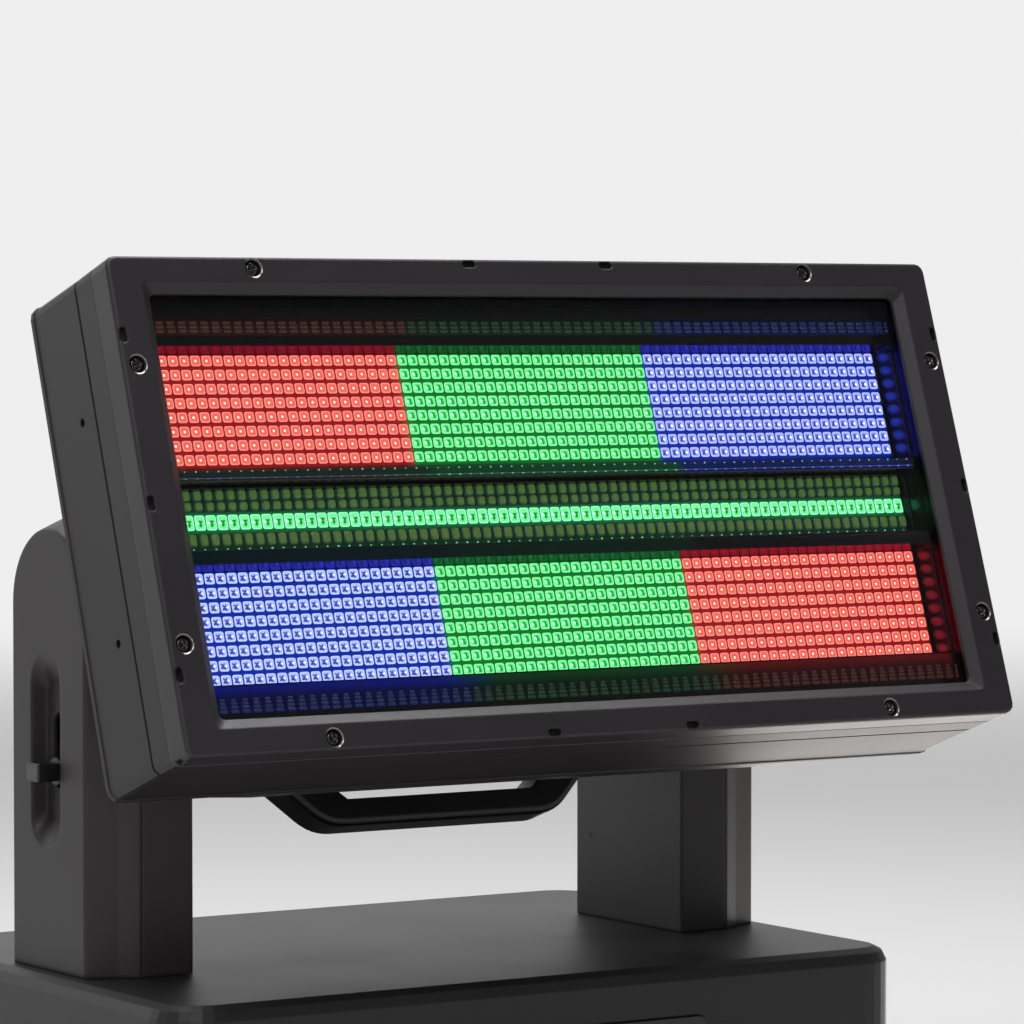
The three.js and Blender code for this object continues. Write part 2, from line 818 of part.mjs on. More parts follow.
function fanRotor() {
  const front = fanFront + fanSpokeThickness + fit;
  const back = front + rotorThickness;
  const hub = prism(circle(fanHub), 'y', front, back, [circle(rotorPin + fit, smallSteps)]);
  const tip = fanBore - 2 * fit;
  const blades = [];
  for (let i = 0; i < bladeCount; i += 1) {
    const blade = new THREE.BoxGeometry(tip - fanHub + overrun, bladeThickness, rotorThickness * 0.9);
    blade.rotateX(THREE.MathUtils.degToRad(90 - bladeTiltDegrees));
    blade.translate((tip + fanHub - overrun) / 2, 0, 0);
    blade.rotateY((2 * Math.PI * i) / bladeCount);
    blades.push(blade.translate(0, (front + back) / 2, 0));
  }
  return join([hub, ...blades]);
}

// The turn between two straight runs, drawn as an arc that touches both
function turn(from, corner, to, radius, steps) {
  const away = (p) => Math.atan2(p.y - corner.y, p.x - corner.x);
  const [first, last] = [away(from), away(to)];
  const half = Math.acos(Math.cos(first - last)) / 2;
  const middle = Math.atan2(Math.sin(first) + Math.sin(last), Math.cos(first) + Math.cos(last));
  const reach = radius / Math.sin(half);
  const start = THREE.MathUtils.radToDeg(middle + Math.PI / 2 + half);
  const sweep = 180 - 2 * THREE.MathUtils.radToDeg(half);
  const cx = corner.x + reach * Math.cos(middle);
  const cy = corner.y + reach * Math.sin(middle);
  return arc(cx, cy, radius, start, start + sweep, steps);
}

// A run of corners moved to its left by a distance, with each bend mitred
function offsetRun(points, distance) {
  const last = points.length - 1;
  const normal = (a, b) => {
    const length = Math.hypot(b.x - a.x, b.y - a.y);
    return point((a.y - b.y) / length, (b.x - a.x) / length);
  };
  return points.map((p, i) => {
    const before = normal(points[Math.max(i - 1, 0)], points[Math.max(i, 1)]);
    const after = normal(points[Math.min(i, last - 1)], points[Math.min(i + 1, last)]);
    const reach = distance / (1 + before.x * after.x + before.y * after.y);
    return point(p.x + reach * (before.x + after.x), p.y + reach * (before.y + after.y));
  });
}

// Carry handle: a bar on two splayed legs, with its edges eased
function carryHandle() {
  const top = -boxHeight / 2 + coverWall / 2;
  const shoulderZ = -boxHeight / 2 - handleShoulder;
  const half = (outline) => [...outline, ...outline.map((p) => point(-p.x, p.y)).reverse()];
  const outer = (inset) => {
    const [middle, foot, shoulder, end] = offsetRun(
      [
        point(0, -handleBottom),
        point(handleFootWidth / 2, -handleBottom),
        point(handleShoulderWidth / 2, shoulderZ),
        point(handleTopWidth / 2, top),
      ],
      inset,
    );
    return half([...turn(middle, foot, shoulder, handleFootRound - inset, handleFootSteps), shoulder, end]);
  };
  const inner = half([
    point(handleHoldWidth / 2, -handleBottom + handleBar),
    point(handleShoulderWidth / 2 - handleLeg, shoulderZ),
    point(handleTopWidth / 2 - handleLeg, top + overrun),
  ]);
  const back = handleFront + handleThickness;
  const body = loft('y', [
    { at: handleFront, outline: outer(handleRound) },
    { at: handleFront + handleRound / 3, outline: outer(handleRound / 3) },
    { at: handleFront + handleRound, outline: outer(0) },
    { at: back - handleRound, outline: outer(0) },
    { at: back - handleRound / 3, outline: outer(handleRound / 3) },
    { at: back, outline: outer(handleRound) },
  ]);
  return cut(body, [prism(inner, 'y', handleFront - overrun, back + overrun), loft('y', coverSections(fit))]);
}

// Tilt axle: a flanged hollow spindle from the cover's wall out to the drive
function tiltAxle(side) {
  const flangeOut = neckWidth / 2 - coverWall - fit;
  const profile = [
    [axleBore, flangeOut - axleFlange],
    [axleFlangeRadius, flangeOut - axleFlange],
    [axleFlangeRadius, flangeOut],
    [axleRadius, flangeOut],
    [axleRadius, axleEnd],
    [axleBore, axleEnd],
    [axleBore, flangeOut - axleFlange],
  ];
  const geometry = turnedX(profile);
  return side > 0 ? geometry : geometry.rotateZ(Math.PI);
}

const rimRadius = (teeth) => (teeth * toothPitch) / (2 * Math.PI);

function tiltPulley() {
  const rim = toothed(rimRadius(pulleyTeeth), rimRadius(pulleyTeeth) - toothDepth, pulleyTeeth, 1 / 2);
  return prism(rim, 'x', pulleyInner, pulleyInner + pulleyWidth, [circle(axleRadius + fit)]);
}

function lockDisc() {
  const rim = toothed(lockDiscRadius, lockDiscRadius - notchDepth, notchCount, notchShare);
  const [low, high] = mirrored(-1, lockDiscInner, lockDiscInner + lockDiscThickness);
  return prism(rim, 'x', low, high, [circle(axleRadius + fit)]);
}

// Head pieces
piece('front_bezel', frontBezel(), 'black_paint', face);
screwPlaces.forEach(([x, z], i) => {
  const screw = piece(`bezel_screw_${i + 1}`, bezelScrew(), 'dark_steel', face);
  screw.position.set(x, screwSink, z);
});
piece('glass_seal', prism(glassOutline(fit + sealWidth), 'y', glassFront, glassBack, [glassOutline(fit)]), 'rubber', face);
piece('front_glass', prism(glassOutline(0), 'y', glassFront, glassBack), 'glass', face);
piece('led_baffle', ledBaffle(), 'gloss_black', face);
piece('upper_led_board', lightBoard(windows.upper), 'red_board', face);
piece('lower_led_board', lightBoard(windows.lower), 'red_board', face);
piece('strobe_led_board', lightBoard(windows.strobe), 'board', face);
piece('strobe_reflector', strobeReflector(), 'gloss_black', face);
piece('head_frame', headFrame(), 'black_paint', face);
piece('rear_housing', rearHousing(), 'black_paint', face);
piece('heat_sink', heatSink(), 'aluminium', face);
piece('back_cover', backCover(), 'black_paint', face);
piece('driver_board', driverBoard(), 'board', face);
[-1, 1].forEach((side) => {
  const name = side < 0 ? 'left' : 'right';
  piece(`fan_frame_${name}`, fanFrame(), 'matte_plastic', face).position.x = (side * fanSpacing) / 2;
  piece(`fan_rotor_${name}`, fanRotor(), 'matte_plastic', face).position.x = (side * fanSpacing) / 2;
  piece(`tilt_axle_${name}`, tiltAxle(side), 'steel', tilting);
});
piece('carry_handle', carryHandle(), 'matte_plastic', face);
piece('tilt_pulley', tiltPulley(), 'aluminium', tilting);
// A notch of the disc faces the lock's tooth at the rest tilt
const disc = piece('lock_disc', lockDisc(), 'steel', tilting);
disc.rotation.x = restTilt;

// Yoke arms, drawn about the tilt axis on the right-hand side; the left arm is the mirror image
const armFoot = axisAboveBase - fit;

function mirrorX(geometry) {
  const copy = toGeometry(toSolid(geometry).mirror([1, 0, 0]));
  return copy;
}

function armFrame() {
  const body = loft('x', [
    { at: armInner, outline: arch(armRadius - armEdge, armFoot) },
    { at: armInner + armEdge, outline: arch(armRadius, armFoot) },
    { at: armSplit - fit, outline: arch(armRadius, armFoot) },
  ]);
  const hollow = prism(arch(armRadius - armWall, armFoot - armFloor), 'x', armInner + armInnerWall, armSplit);
  const boss = rod(bearingRadius + bearingBoss, 'x', armInner, armInner + bearingThickness + bearingLip + fit);
  const seat = rod(bearingRadius + fit, 'x', armInner + bearingLip, armSplit);
  const mouth = rod(bearingRadius - bearingLip, 'x', armInner - overrun, armSplit);
  const cableHole = prism(
    moved(roundedRect(cableHoleWidth, cableHoleLength, cableHoleWidth / 4), (armInner + armSplit) / 2, 0),
    'z',
    -armFoot - overrun,
    -armFoot + armFloor + overrun,
  );
  return cut(join([cut(body, [hollow]), boss]), [seat, mouth, cableHole]);
}

function armCover(withRecess) {
  const outer = loft('x', [
    { at: armSplit, outline: arch(armRadius, armFoot) },
    { at: armKnee, outline: arch(armKneeRadius, armFoot) },
    { at: armOuter - armEdge, outline: arch(armOuterRadius + armEdge, armFoot) },
    { at: armOuter, outline: arch(armOuterRadius, armFoot) },
  ]);
  const inside = armFoot - armFloor;
  const hollow = loft('x', [
    { at: armSplit - overrun, outline: arch(armRadius - armWall, inside) },
    { at: armSplit, outline: arch(armRadius - armWall, inside) },
    { at: armKnee - armWall / 2, outline: arch(armKneeRadius - armWall, inside) },
    { at: armOuter - armWall, outline: arch(armOuterRadius - armWall, inside) },
  ]);
  const shell = cut(outer, [hollow]);
  if (!withRecess) {
    return shell;
  }
  const floor = armOuter - recessDepth;
  const stadium = (grow) => {
    const width = recessWidth + 2 * grow;
    return moved(roundedRect(width, recessLength + 2 * grow, width / 2, wideSteps), recessBack, -recessCentre);
  };
  const block = prism(stadium(recessWall), 'x', floor - recessWall, armOuter);
  const floorWidth = recessWidth - 2 * recessTaper;
  const floorOutline = roundedRect(floorWidth, recessLength - 2 * recessRamp, recessFloorRound, wideSteps);
  const pocket = loft('x', [
    { at: floor, outline: moved(floorOutline, recessBack, -recessCentre) },
    { at: armOuter, outline: stadium(0) },
    { at: armOuter + overrun, outline: stadium(0) },
  ]);
  const slot = prism(
    moved(roundedRect(lockSlotWidth, lockSlotLength, lockSlotWidth / 2, wideSteps), lockSlotBack, -lockSlotCentre),
    'x',
    floor - recessWall - overrun,
    floor + overrun,
  );
  return cut(join([shell, block]), [pocket, slot]);
}

// The lock lever: knob in the recess, stem through the slot, slider and tooth behind it
function lockLever() {
  const floor = armOuter - recessDepth;
  const inner = floor - recessWall - fit;
  const knobFoot = floor + fit;
  const bar = (width, height, low, high, z) => box(low, high, -width / 2, width / 2, z - height / 2, z + height / 2);
  const knob = loft('x', [
    { at: knobFoot, outline: roundedRect(knobWidth - armEdge, knobHeight - armEdge, armEdge) },
    { at: knobFoot + knobReach - armEdge, outline: roundedRect(knobWidth, knobHeight, armEdge) },
    { at: knobFoot + knobReach, outline: roundedRect(knobWidth - armEdge, knobHeight - armEdge, armEdge / 2) },
  ]).translate(0, 0, -knobDrop);
  const collar = rod(knobCollar, 'x', knobFoot, knobFoot + knobCollarHeight).translate(0, 0, -knobDrop);
  const stem = bar(leverStem, leverStem, inner - sliderThickness / 2, knobFoot + overrun, -knobDrop);
  const slider = bar(sliderWidth, sliderHeight, inner - sliderThickness, inner, -knobDrop);
  const toothOut = lockDiscInner + toothThickness + fit;
  const toothIn = lockDiscInner + fit;
  const stemTop = -toothTop - toothLength;
  const stemFoot = -knobDrop;
  const riser = bar(toothStemWidth, stemTop - stemFoot, toothIn, inner, (stemTop + stemFoot) / 2);
  const tooth = bar(toothWidth, toothLength + overrun, toothIn, toothOut, -toothTop - (toothLength + overrun) / 2);
  const grip = join([knob, collar, stem, slider]).translate(0, knobBack, 0);
  return join([grip, riser, tooth]);
}

// Belt drive in the right arm
const pulleyMiddle = pulleyInner + pulleyWidth / 2;
const beltGap = fit;

function tiltBelt() {
  const loop = (offset) => {
    const big = rimRadius(pulleyTeeth) + offset;
    const small = rimRadius(motorTeeth) + offset;
    const lean = THREE.MathUtils.radToDeg(Math.asin((big - small) / motorDrop));
    return [
      ...arc(0, 0, big, -lean, 180 + lean, roundSteps),
      ...arc(0, -motorDrop, small, 180 + lean, 360 - lean, roundSteps / 2),
    ];
  };
  const low = pulleyMiddle - beltWidth / 2;
  return prism(loop(beltGap + beltThickness), 'x', low, low + beltWidth, [loop(beltGap)]);
}

function tiltMotor() {
  const low = armInner + armInnerWall + fit;
  const body = prism(roundedRect(motorSize, motorSize, motorCorner), 'x', low, low + motorLength);
  const collar = rod(motorCollar, 'x', low + motorLength / 2, low + motorLength + motorCollarHeight);
  const bore = rod(motorShaft + fit, 'x', low + motorLength / 4, armOuter, smallSteps);
  return cut(join([body, collar]), [bore]);
}

function motorPulley() {
  const low = armInner + armInnerWall + fit + motorLength / 4 + fit;
  const shaft = rod(motorShaft, 'x', low, pulleyInner + pulleyWidth, smallSteps);
  const rim = toothed(rimRadius(motorTeeth), rimRadius(motorTeeth) - toothDepth, motorTeeth, 1 / 2);
  const wheel = prism(rim, 'x', pulleyInner, pulleyInner + pulleyWidth);
  const hub = rod(pulleyHub, 'x', pulleyInner - overrun, pulleyInner + overrun, smallSteps);
  return join([shaft, wheel, hub]);
}

const yoke = new THREE.Group();
yoke.position.z = axisHeight;
light.add(yoke);
piece('right_arm_frame', armFrame(), 'arm_paint', yoke);
piece('right_arm_cover', armCover(false), 'arm_paint', yoke);
piece('left_arm_frame', mirrorX(armFrame()), 'arm_paint', yoke);
piece('left_arm_cover', mirrorX(armCover(true)), 'arm_paint', yoke);
const bearingLow = armInner + bearingLip + fit;
const bearing = () => tube(axleRadius + fit, bearingRadius, bearingLow, bearingLow + bearingThickness);
piece('right_bearing', bearing(), 'steel', yoke);
piece('left_bearing', bearing().rotateZ(Math.PI), 'steel', yoke);
piece('tilt_belt', tiltBelt(), 'rubber', yoke);
piece('tilt_motor', tiltMotor(), 'dark_steel', yoke).position.z = -motorDrop;
piece('motor_pulley', motorPulley(), 'aluminium', yoke).position.z = -motorDrop;
piece('lock_lever', mirrorX(lockLever()), 'matte_plastic', yoke);

// Base
const base = new THREE.Group();
base.position.z = footHeight;
light.add(base);

const baseOutline = (grow) =>
  roundedRect(baseWidth + 2 * grow, baseDepth + 2 * grow, baseCorner + grow, wideSteps);
const frontFace = -baseDepth / 2;
const backFace = baseDepth / 2;
const panelZ = baseHeight / 2 - panelDrop;
const socketX = (i) => -socketStart + i * socketPitch;
const socketZ = baseHeight * socketRaiseShare;
const powerOutline = () => roundedRect(powerFlange, powerFlangeHeight, socketCorner);

function baseShell() {
  const body = loft('z', [
    { at: 0, outline: baseOutline(-edgeRound) },
    { at: edgeRound, outline: baseOutline(0) },
    { at: baseHeight - baseChamfer, outline: baseOutline(0) },
    { at: baseHeight - baseChamfer / 3, outline: baseOutline(-baseChamfer / 3) },
    { at: baseHeight, outline: baseOutline(-baseChamfer) },
  ]);
  const hollow = loft('z', [
    { at: -overrun, outline: baseOutline(-baseWall) },
    { at: baseHeight - baseChamfer, outline: baseOutline(-baseWall) },
    { at: baseHeight - baseWall, outline: baseOutline(-baseChamfer) },
  ]);
  const panelSeat = prism(
    moved(roundedRect(panelWidth + 2 * fit, panelHeight + 2 * fit, panelCorner), 0, panelZ),
    'y',
    frontFace - overrun,
    frontFace + panelRecess,
  );
  const panelWay = prism(
    moved(roundedRect(panelWidth - 2 * panelCorner, panelHeight - 2 * panelCorner, panelCorner), 0, panelZ),
    'y',
    frontFace,
    frontFace + baseWall + overrun,
  );
  const armMiddle = (armInner + armSplit) / 2;
  const cableWays = [-1, 1].map((side) =>
    prism(
      moved(roundedRect(cableHoleWidth, cableHoleLength, cableHoleWidth / 4), side * armMiddle, 0),
      'z',
      baseHeight - 2 * baseWall,
      baseHeight + overrun,
    ),
  );
  const radii = [powerRadius, powerRadius, dataRadius, dataRadius, fuseRadius];
  const socketWays = radii.map((radius, i) =>
    rod(radius + fit, 'y', backFace - 2 * baseWall, backFace + overrun).translate(socketX(i), 0, socketZ),
  );
  return cut(body, [hollow, panelSeat, panelWay, ...cableWays, ...socketWays]);
}

function basePlate() {
  return prism(baseOutline(-baseWall - fit), 'z', 0, basePlateThickness);
}

const foot = () =>
  loft('z', [
    { at: 0, outline: circle(footRadius - footTaper) },
    { at: footHeight - fit, outline: circle(footRadius) },
  ]);

function controlPanel() {
  const front = frontFace + panelRecess - fit - panelThickness;
  const plate = prism(roundedRect(panelWidth, panelHeight, panelCorner), 'y', front, front + panelThickness);
  const screenSeat = prism(
    moved(roundedRect(displayWidth + 2 * fit, displayHeight + 2 * fit, edgeRound), -displayOffset, 0),
    'y',
    front - overrun,
    front + displayThickness + fit,
  );
  const ways = [0, 1, 2, 3].map((i) => {
    const half = buttonSize / 2 + fit;
    const x = buttonX(i);
    return box(x - half, x + half, front - overrun, front + panelThickness + overrun, -half, half);
  });
  return cut(plate, [screenSeat, ...ways]);
}

const buttonX = (i) => buttonOffset + (i - 3 / 2) * buttonPitch;

function menuButton() {
  const front = frontFace + panelRecess - fit - panelThickness;
  const outline = (inset) => roundedRect(buttonSize - inset, buttonSize - inset, panelCorner / 3);
  const stem = loft('y', [
    { at: front - buttonProud, outline: outline(buttonCap) },
    { at: front - buttonProud + buttonCap / 2, outline: outline(0) },
    { at: front - buttonProud + buttonReach + buttonCap, outline: outline(0) },
  ]);
  return stem;
}

// Mains sockets: a flanged body with a keyed round bore
function powerSocket(keyUp) {
  const front = backFace + fit;
  const flange = prism(powerOutline(), 'y', front, front + flangeThickness);
  const body = rod(powerRadius, 'y', front - socketBody, front + flangeThickness / 2);
  const bore = rod(powerRadius - flangeThickness, 'y', front - socketBore, front + flangeThickness + overrun);
  const reach = powerRadius - flangeThickness / 2;
  const key = box(-keyWidth / 2, keyWidth / 2, front - socketBore, front + flangeThickness + overrun, 0, reach);
  return cut(join([flange, body]), [bore, key.rotateY(keyUp > 0 ? 0 : Math.PI)]);
}

function dataSocket() {
  const front = backFace + fit;
  const flange = prism(powerOutline(), 'y', front, front + flangeThickness);
  const body = rod(dataRadius, 'y', front - socketBody, front + flangeThickness / 2);
  const bore = rod(dataRadius - flangeThickness / 2, 'y', front - socketBore, front + flangeThickness + overrun);
  const core = rod(dataRadius - flangeThickness - fit, 'y', front - socketBore - overrun, front + flangeThickness / 2);
  const pinRing = (dataRadius - flangeThickness) / 2;
  const pins = [0, 1, 2, 3, 4].map((i) => {
    const angle = THREE.MathUtils.degToRad(-90 + (i - 2) * 60);
    return rod(keyWidth / 4, 'y', front - socketBore / 2, front + flangeThickness, smallSteps / 2).translate(
      pinRing * Math.cos(angle),
      0,
      pinRing * Math.sin(angle),
    );
  });
  return cut(join([cut(join([flange, body]), [bore]), core]), pins);
}

function fuseHolder() {
  const front = backFace + fit;
  const cap = rod(fuseFlange, 'y', front, front + fuseProud);
  const body = rod(fuseRadius, 'y', front - fuseBody, front + fuseProud / 2);
  const slot = box(-fuseFlange / 2, fuseFlange / 2, front + fuseProud - keyWidth / 2, front + fuseProud + overrun, -keyWidth / 4, keyWidth / 4);
  return cut(join([cap, body]), [slot]);
}

// Safety-cable eye: one bent rod on two round feet
function safetyEye() {
  const start = backFace + fit;
  const bend = eyeReach - eyeRod / 2 - eyeBend - fit;
  const half = eyeWidth / 2;
  const route = new THREE.CurvePath();
  const corner = (cx, from, to) => {
    const points = arc(cx, start + bend, eyeBend, from, to, arcSteps);
    return points.map((p) => point3(p.x, p.y, 0));
  };
  const stops = [
    point3(-half, start + eyeRod / 4, 0),
    ...corner(-half + eyeBend, 180, 90),
    ...corner(half - eyeBend, 90, 0),
    point3(half, start + eyeRod / 4, 0),
  ];
  for (let i = 0; i + 1 < stops.length; i += 1) {
    route.add(new THREE.LineCurve3(stops[i], stops[i + 1]));
  }
  const path = new THREE.CatmullRomCurve3(route.getSpacedPoints(2 * roundSteps), false, 'centripetal');
  const loop = new THREE.ExtrudeGeometry(new THREE.Shape(circle(eyeRod / 2, smallSteps)), {
    steps: roundSteps,
    bevelEnabled: false,
    extrudePath: path,
  });
  const feet = [-1, 1].map((side) => rod(eyeFoot, 'y', start, start + eyeRod / 2).translate(side * half, 0, 0));
  return join([loop, ...feet]);
}

function powerSupply() {
  const bottom = basePlateThickness + fit;
  const body = box(-supplyWidth / 2, supplyWidth / 2, -supplyDepth / 2, supplyDepth / 2, bottom, bottom + supplyHeight);
  const vents = [];
  for (let i = -4; i <= 4; i += 1) {
    const x = i * ventPitch * 2;
    vents.push(
      box(x - ventWidth, x + ventWidth, -supplyDepth / 3, supplyDepth / 3, bottom + supplyHeight - ventWidth, bottom + supplyHeight + overrun),
    );
  }
  return cut(body, vents);
}

function mainBoard() {
  const bottom = basePlateThickness + fit;
  const halfX = mainBoardWidth / 2;
  const halfY = mainBoardDepth / 2;
  const board = box(-halfX, halfX, -halfY, halfY, bottom + standoff, bottom + standoff + boardThickness);
  const posts = [-1, 1].flatMap((i) =>
    [-1, 1].map((k) =>
      rod(postRadius, 'z', bottom, bottom + standoff + boardThickness / 2, smallSteps).translate(
        i * (halfX - 2 * postRadius),
        k * (halfY - 2 * postRadius),
        0,
      ),
    ),
  );
  const top = bottom + standoff + boardThickness;
  const parts = [-1, 0, 1].map((k) =>
    box(-chipSize / 2, chipSize / 2, k * chipSize * 1.3 - chipSize / 2, k * chipSize * 1.3 + chipSize / 2, top - boardThickness / 2, top + chipHeight),
  );
  return join([board, ...posts, ...parts]);
}

piece('base_shell', baseShell(), 'black_paint', base);
piece('base_plate', basePlate(), 'steel', base);
[-1, 1].forEach((sideX) => {
  [-1, 1].forEach((sideY) => {
    const name = `foot_${sideY < 0 ? 'front' : 'back'}_${sideX < 0 ? 'left' : 'right'}`;
    const rubberFoot = piece(name, foot(), 'rubber', light);
    rubberFoot.position.set(sideX * (baseWidth / 2 - footInsetX), sideY * (baseDepth / 2 - footInsetY), 0);
  });
});
piece('control_panel', controlPanel(), 'gloss_black', base).position.z = panelZ;
const screenFront = frontFace + panelRecess - fit - panelThickness;
const screen = prism(
  roundedRect(displayWidth, displayHeight, edgeRound),
  'y',
  screenFront + edgeRound / 2,
  screenFront + displayThickness,
);
piece('display_window', screen, 'display', base).position.set(-displayOffset, 0, panelZ);
['menu', 'up', 'down', 'enter'].forEach((name, i) => {
  piece(`button_${name}`, menuButton(), 'matte_plastic', base).position.set(buttonX(i), 0, panelZ);
});
piece('power_inlet', powerSocket(1), 'matte_plastic', base).position.set(socketX(0), 0, socketZ);
piece('power_outlet', powerSocket(-1), 'matte_plastic', base).position.set(socketX(1), 0, socketZ);
piece('data_in', dataSocket(), 'steel', base).position.set(socketX(2), 0, socketZ);
piece('data_out', dataSocket(), 'steel', base).position.set(socketX(3), 0, socketZ);
piece('fuse_holder', fuseHolder(), 'matte_plastic', base).position.set(socketX(4), 0, socketZ);
piece('safety_eye', safetyEye(), 'steel', base).position.set(socketX(5), 0, socketZ - eyeDrop);
piece('power_supply', powerSupply(), 'aluminium', base).position.set(supplyX, supplyY, 0);
piece('main_board', mainBoard(), 'board', base).position.set(-mainBoardX, mainBoardY, 0);

export default light;
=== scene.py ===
"""Looks for the tilting LED strobe light: materials, light packages, tray, screws and the studio."""
import json
import math
import random

import bpy
from mathutils import Matrix, Vector


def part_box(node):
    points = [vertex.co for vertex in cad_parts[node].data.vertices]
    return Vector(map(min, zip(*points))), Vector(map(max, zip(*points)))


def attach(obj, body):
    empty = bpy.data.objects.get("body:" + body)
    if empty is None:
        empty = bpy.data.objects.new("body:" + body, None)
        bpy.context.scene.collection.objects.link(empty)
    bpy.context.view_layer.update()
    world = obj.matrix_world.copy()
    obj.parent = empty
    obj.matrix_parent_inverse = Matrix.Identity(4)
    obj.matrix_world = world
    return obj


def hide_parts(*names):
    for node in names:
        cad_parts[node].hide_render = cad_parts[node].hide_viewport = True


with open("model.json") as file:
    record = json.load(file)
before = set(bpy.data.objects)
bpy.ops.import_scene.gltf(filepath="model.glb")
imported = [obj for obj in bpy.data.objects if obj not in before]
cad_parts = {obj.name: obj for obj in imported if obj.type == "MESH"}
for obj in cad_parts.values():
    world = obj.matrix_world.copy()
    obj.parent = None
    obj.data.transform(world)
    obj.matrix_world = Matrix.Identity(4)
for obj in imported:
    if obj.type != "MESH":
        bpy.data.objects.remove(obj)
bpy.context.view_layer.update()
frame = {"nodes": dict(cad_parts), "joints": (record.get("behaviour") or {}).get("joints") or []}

MM = 0.001
random.seed(7)

# The head's own frame, in millimetres: x across, d behind the face, u up the face
HEAD_WIDTH = 460.0
HEAD_HEIGHT = 232.0
EDGE_ROUND = 1.4
REST_TILT = math.radians(18.9)
AXIS_DEPTH = 178.5
AXIS_DROP = 6.0
joints = {joint["name"]: joint for joint in frame["joints"]}
nodes_by_name = frame["nodes"]
PIVOT = Vector(joints["head_tilt"]["pos_m"])
HEAD = (
    Matrix.Translation(PIVOT)
    @ Matrix.Rotation(-REST_TILT, 4, "X")
    @ Matrix.Translation((0, -AXIS_DEPTH * MM, AXIS_DROP * MM))
)

# Camera, fitted to the photograph
CAMERA_FROM_PIVOT = Vector((-1.21799, -1.99205, 0.13795))
CAMERA_YAW = math.radians(32.879)
CAMERA_PITCH = math.radians(-2.168)
CAMERA_LENS = 165.41
SENSOR = 36.0
CLIP_NEAR = 0.05
CLIP_FAR = 50


def make_camera():
    data = bpy.data.cameras.new("camera")
    data.lens = CAMERA_LENS
    data.sensor_width = SENSOR
    data.clip_start = CLIP_NEAR
    data.clip_end = CLIP_FAR
    camera = bpy.data.objects.new("camera", data)
    bpy.context.scene.collection.objects.link(camera)
    look = Vector(
        (
            math.sin(CAMERA_YAW) * math.cos(CAMERA_PITCH),
            math.cos(CAMERA_YAW) * math.cos(CAMERA_PITCH),
            math.sin(CAMERA_PITCH),
        )
    )
    camera.location = PIVOT + CAMERA_FROM_PIVOT
    camera.rotation_mode = "QUATERNION"
    camera.rotation_quaternion = look.to_track_quat("-Z", "Y")
    bpy.context.scene.camera = camera


make_camera()


# Colours and shader nodes
def linear(r, g, b):
    """Linear colour from 0-255 screen values."""

    def one(v):
        v = v / 255
        return v / 12.92 if v <= 0.04045 else ((v + 0.055) / 1.055) ** 2.4

    return (one(r), one(g), one(b), 1.0)


def toned(colour, share):
    """The colour with its light times a share."""
    return tuple(c * share for c in colour[:3]) + (1.0,)


def new_material(name):
    mat = bpy.data.materials.new(name)
    mat.use_nodes = True
    nodes = mat.node_tree.nodes
    bsdf = nodes["Principled BSDF"]
    return mat, nodes, mat.node_tree.links, bsdf


def coordinates(nodes, links, scale=(1, 1, 1)):
    where = nodes.new("ShaderNodeTexCoord")
    mapping = nodes.new("ShaderNodeMapping")
    mapping.inputs["Scale"].default_value = scale
    links.new(where.outputs["Object"], mapping.inputs["Vector"])
    return mapping.outputs["Vector"]


def noise(nodes, links, vector, scale, detail=3.0, roughness=0.5):
    node = nodes.new("ShaderNodeTexNoise")
    node.inputs["Scale"].default_value = scale
    node.inputs["Detail"].default_value = detail
    node.inputs["Roughness"].default_value = roughness
    links.new(vector, node.inputs["Vector"])
    return node.outputs["Fac"]


def ramp(nodes, links, value, stops, interpolation="LINEAR"):
    node = nodes.new("ShaderNodeValToRGB")
    node.color_ramp.interpolation = interpolation
    elements = node.color_ramp.elements
    while len(elements) < len(stops):
        elements.new(0.5)
    for element, (at, colour) in zip(elements, stops):
        element.position = at
        element.color = colour
    links.new(value, node.inputs["Fac"])
    return node.outputs["Color"]


def two_tones(nodes, links, value, dark, pale):
    return ramp(nodes, links, value, [(0.3, dark), (0.7, pale)])


def spread(nodes, links, value, low, high):
    node = nodes.new("ShaderNodeMapRange")
    node.inputs["To Min"].default_value = low
    node.inputs["To Max"].default_value = high
    links.new(value, node.inputs["Value"])
    return node.outputs["Result"]


def soften_edges(nodes, links, radius):
    node = nodes.new("ShaderNodeBevel")
    node.samples = 4
    node.inputs["Radius"].default_value = radius
    return node.outputs["Normal"]


COAT_SHADE = 0.12
COAT_PATCHES = 14
GRAIN_STRENGTH = 0.5


def coated(name, colour, rough=(0.4, 0.5), grain=2200, depth=0.00005, edge=0.0006, metal=0.0):
    """A painted or moulded surface: a fine grain, soft edges and slow changes of tone."""
    mat, nodes, links, bsdf = new_material(name)
    at = coordinates(nodes, links)
    slow = noise(nodes, links, at, COAT_PATCHES, 4)
    fine = noise(nodes, links, at, grain, 2)
    dark = toned(colour, 1 - COAT_SHADE)
    pale = toned(colour, 1 + COAT_SHADE)
    links.new(two_tones(nodes, links, slow, dark, pale), bsdf.inputs["Base Color"])
    links.new(spread(nodes, links, slow, *rough), bsdf.inputs["Roughness"])
    bsdf.inputs["Metallic"].default_value = metal
    bump = nodes.new("ShaderNodeBump")
    bump.inputs["Strength"].default_value = GRAIN_STRENGTH
    bump.inputs["Distance"].default_value = depth
    links.new(fine, bump.inputs["Height"])
    if edge:
        links.new(soften_edges(nodes, links, edge), bump.inputs["Normal"])
    links.new(bump.outputs["Normal"], bsdf.inputs["Normal"])
    return mat


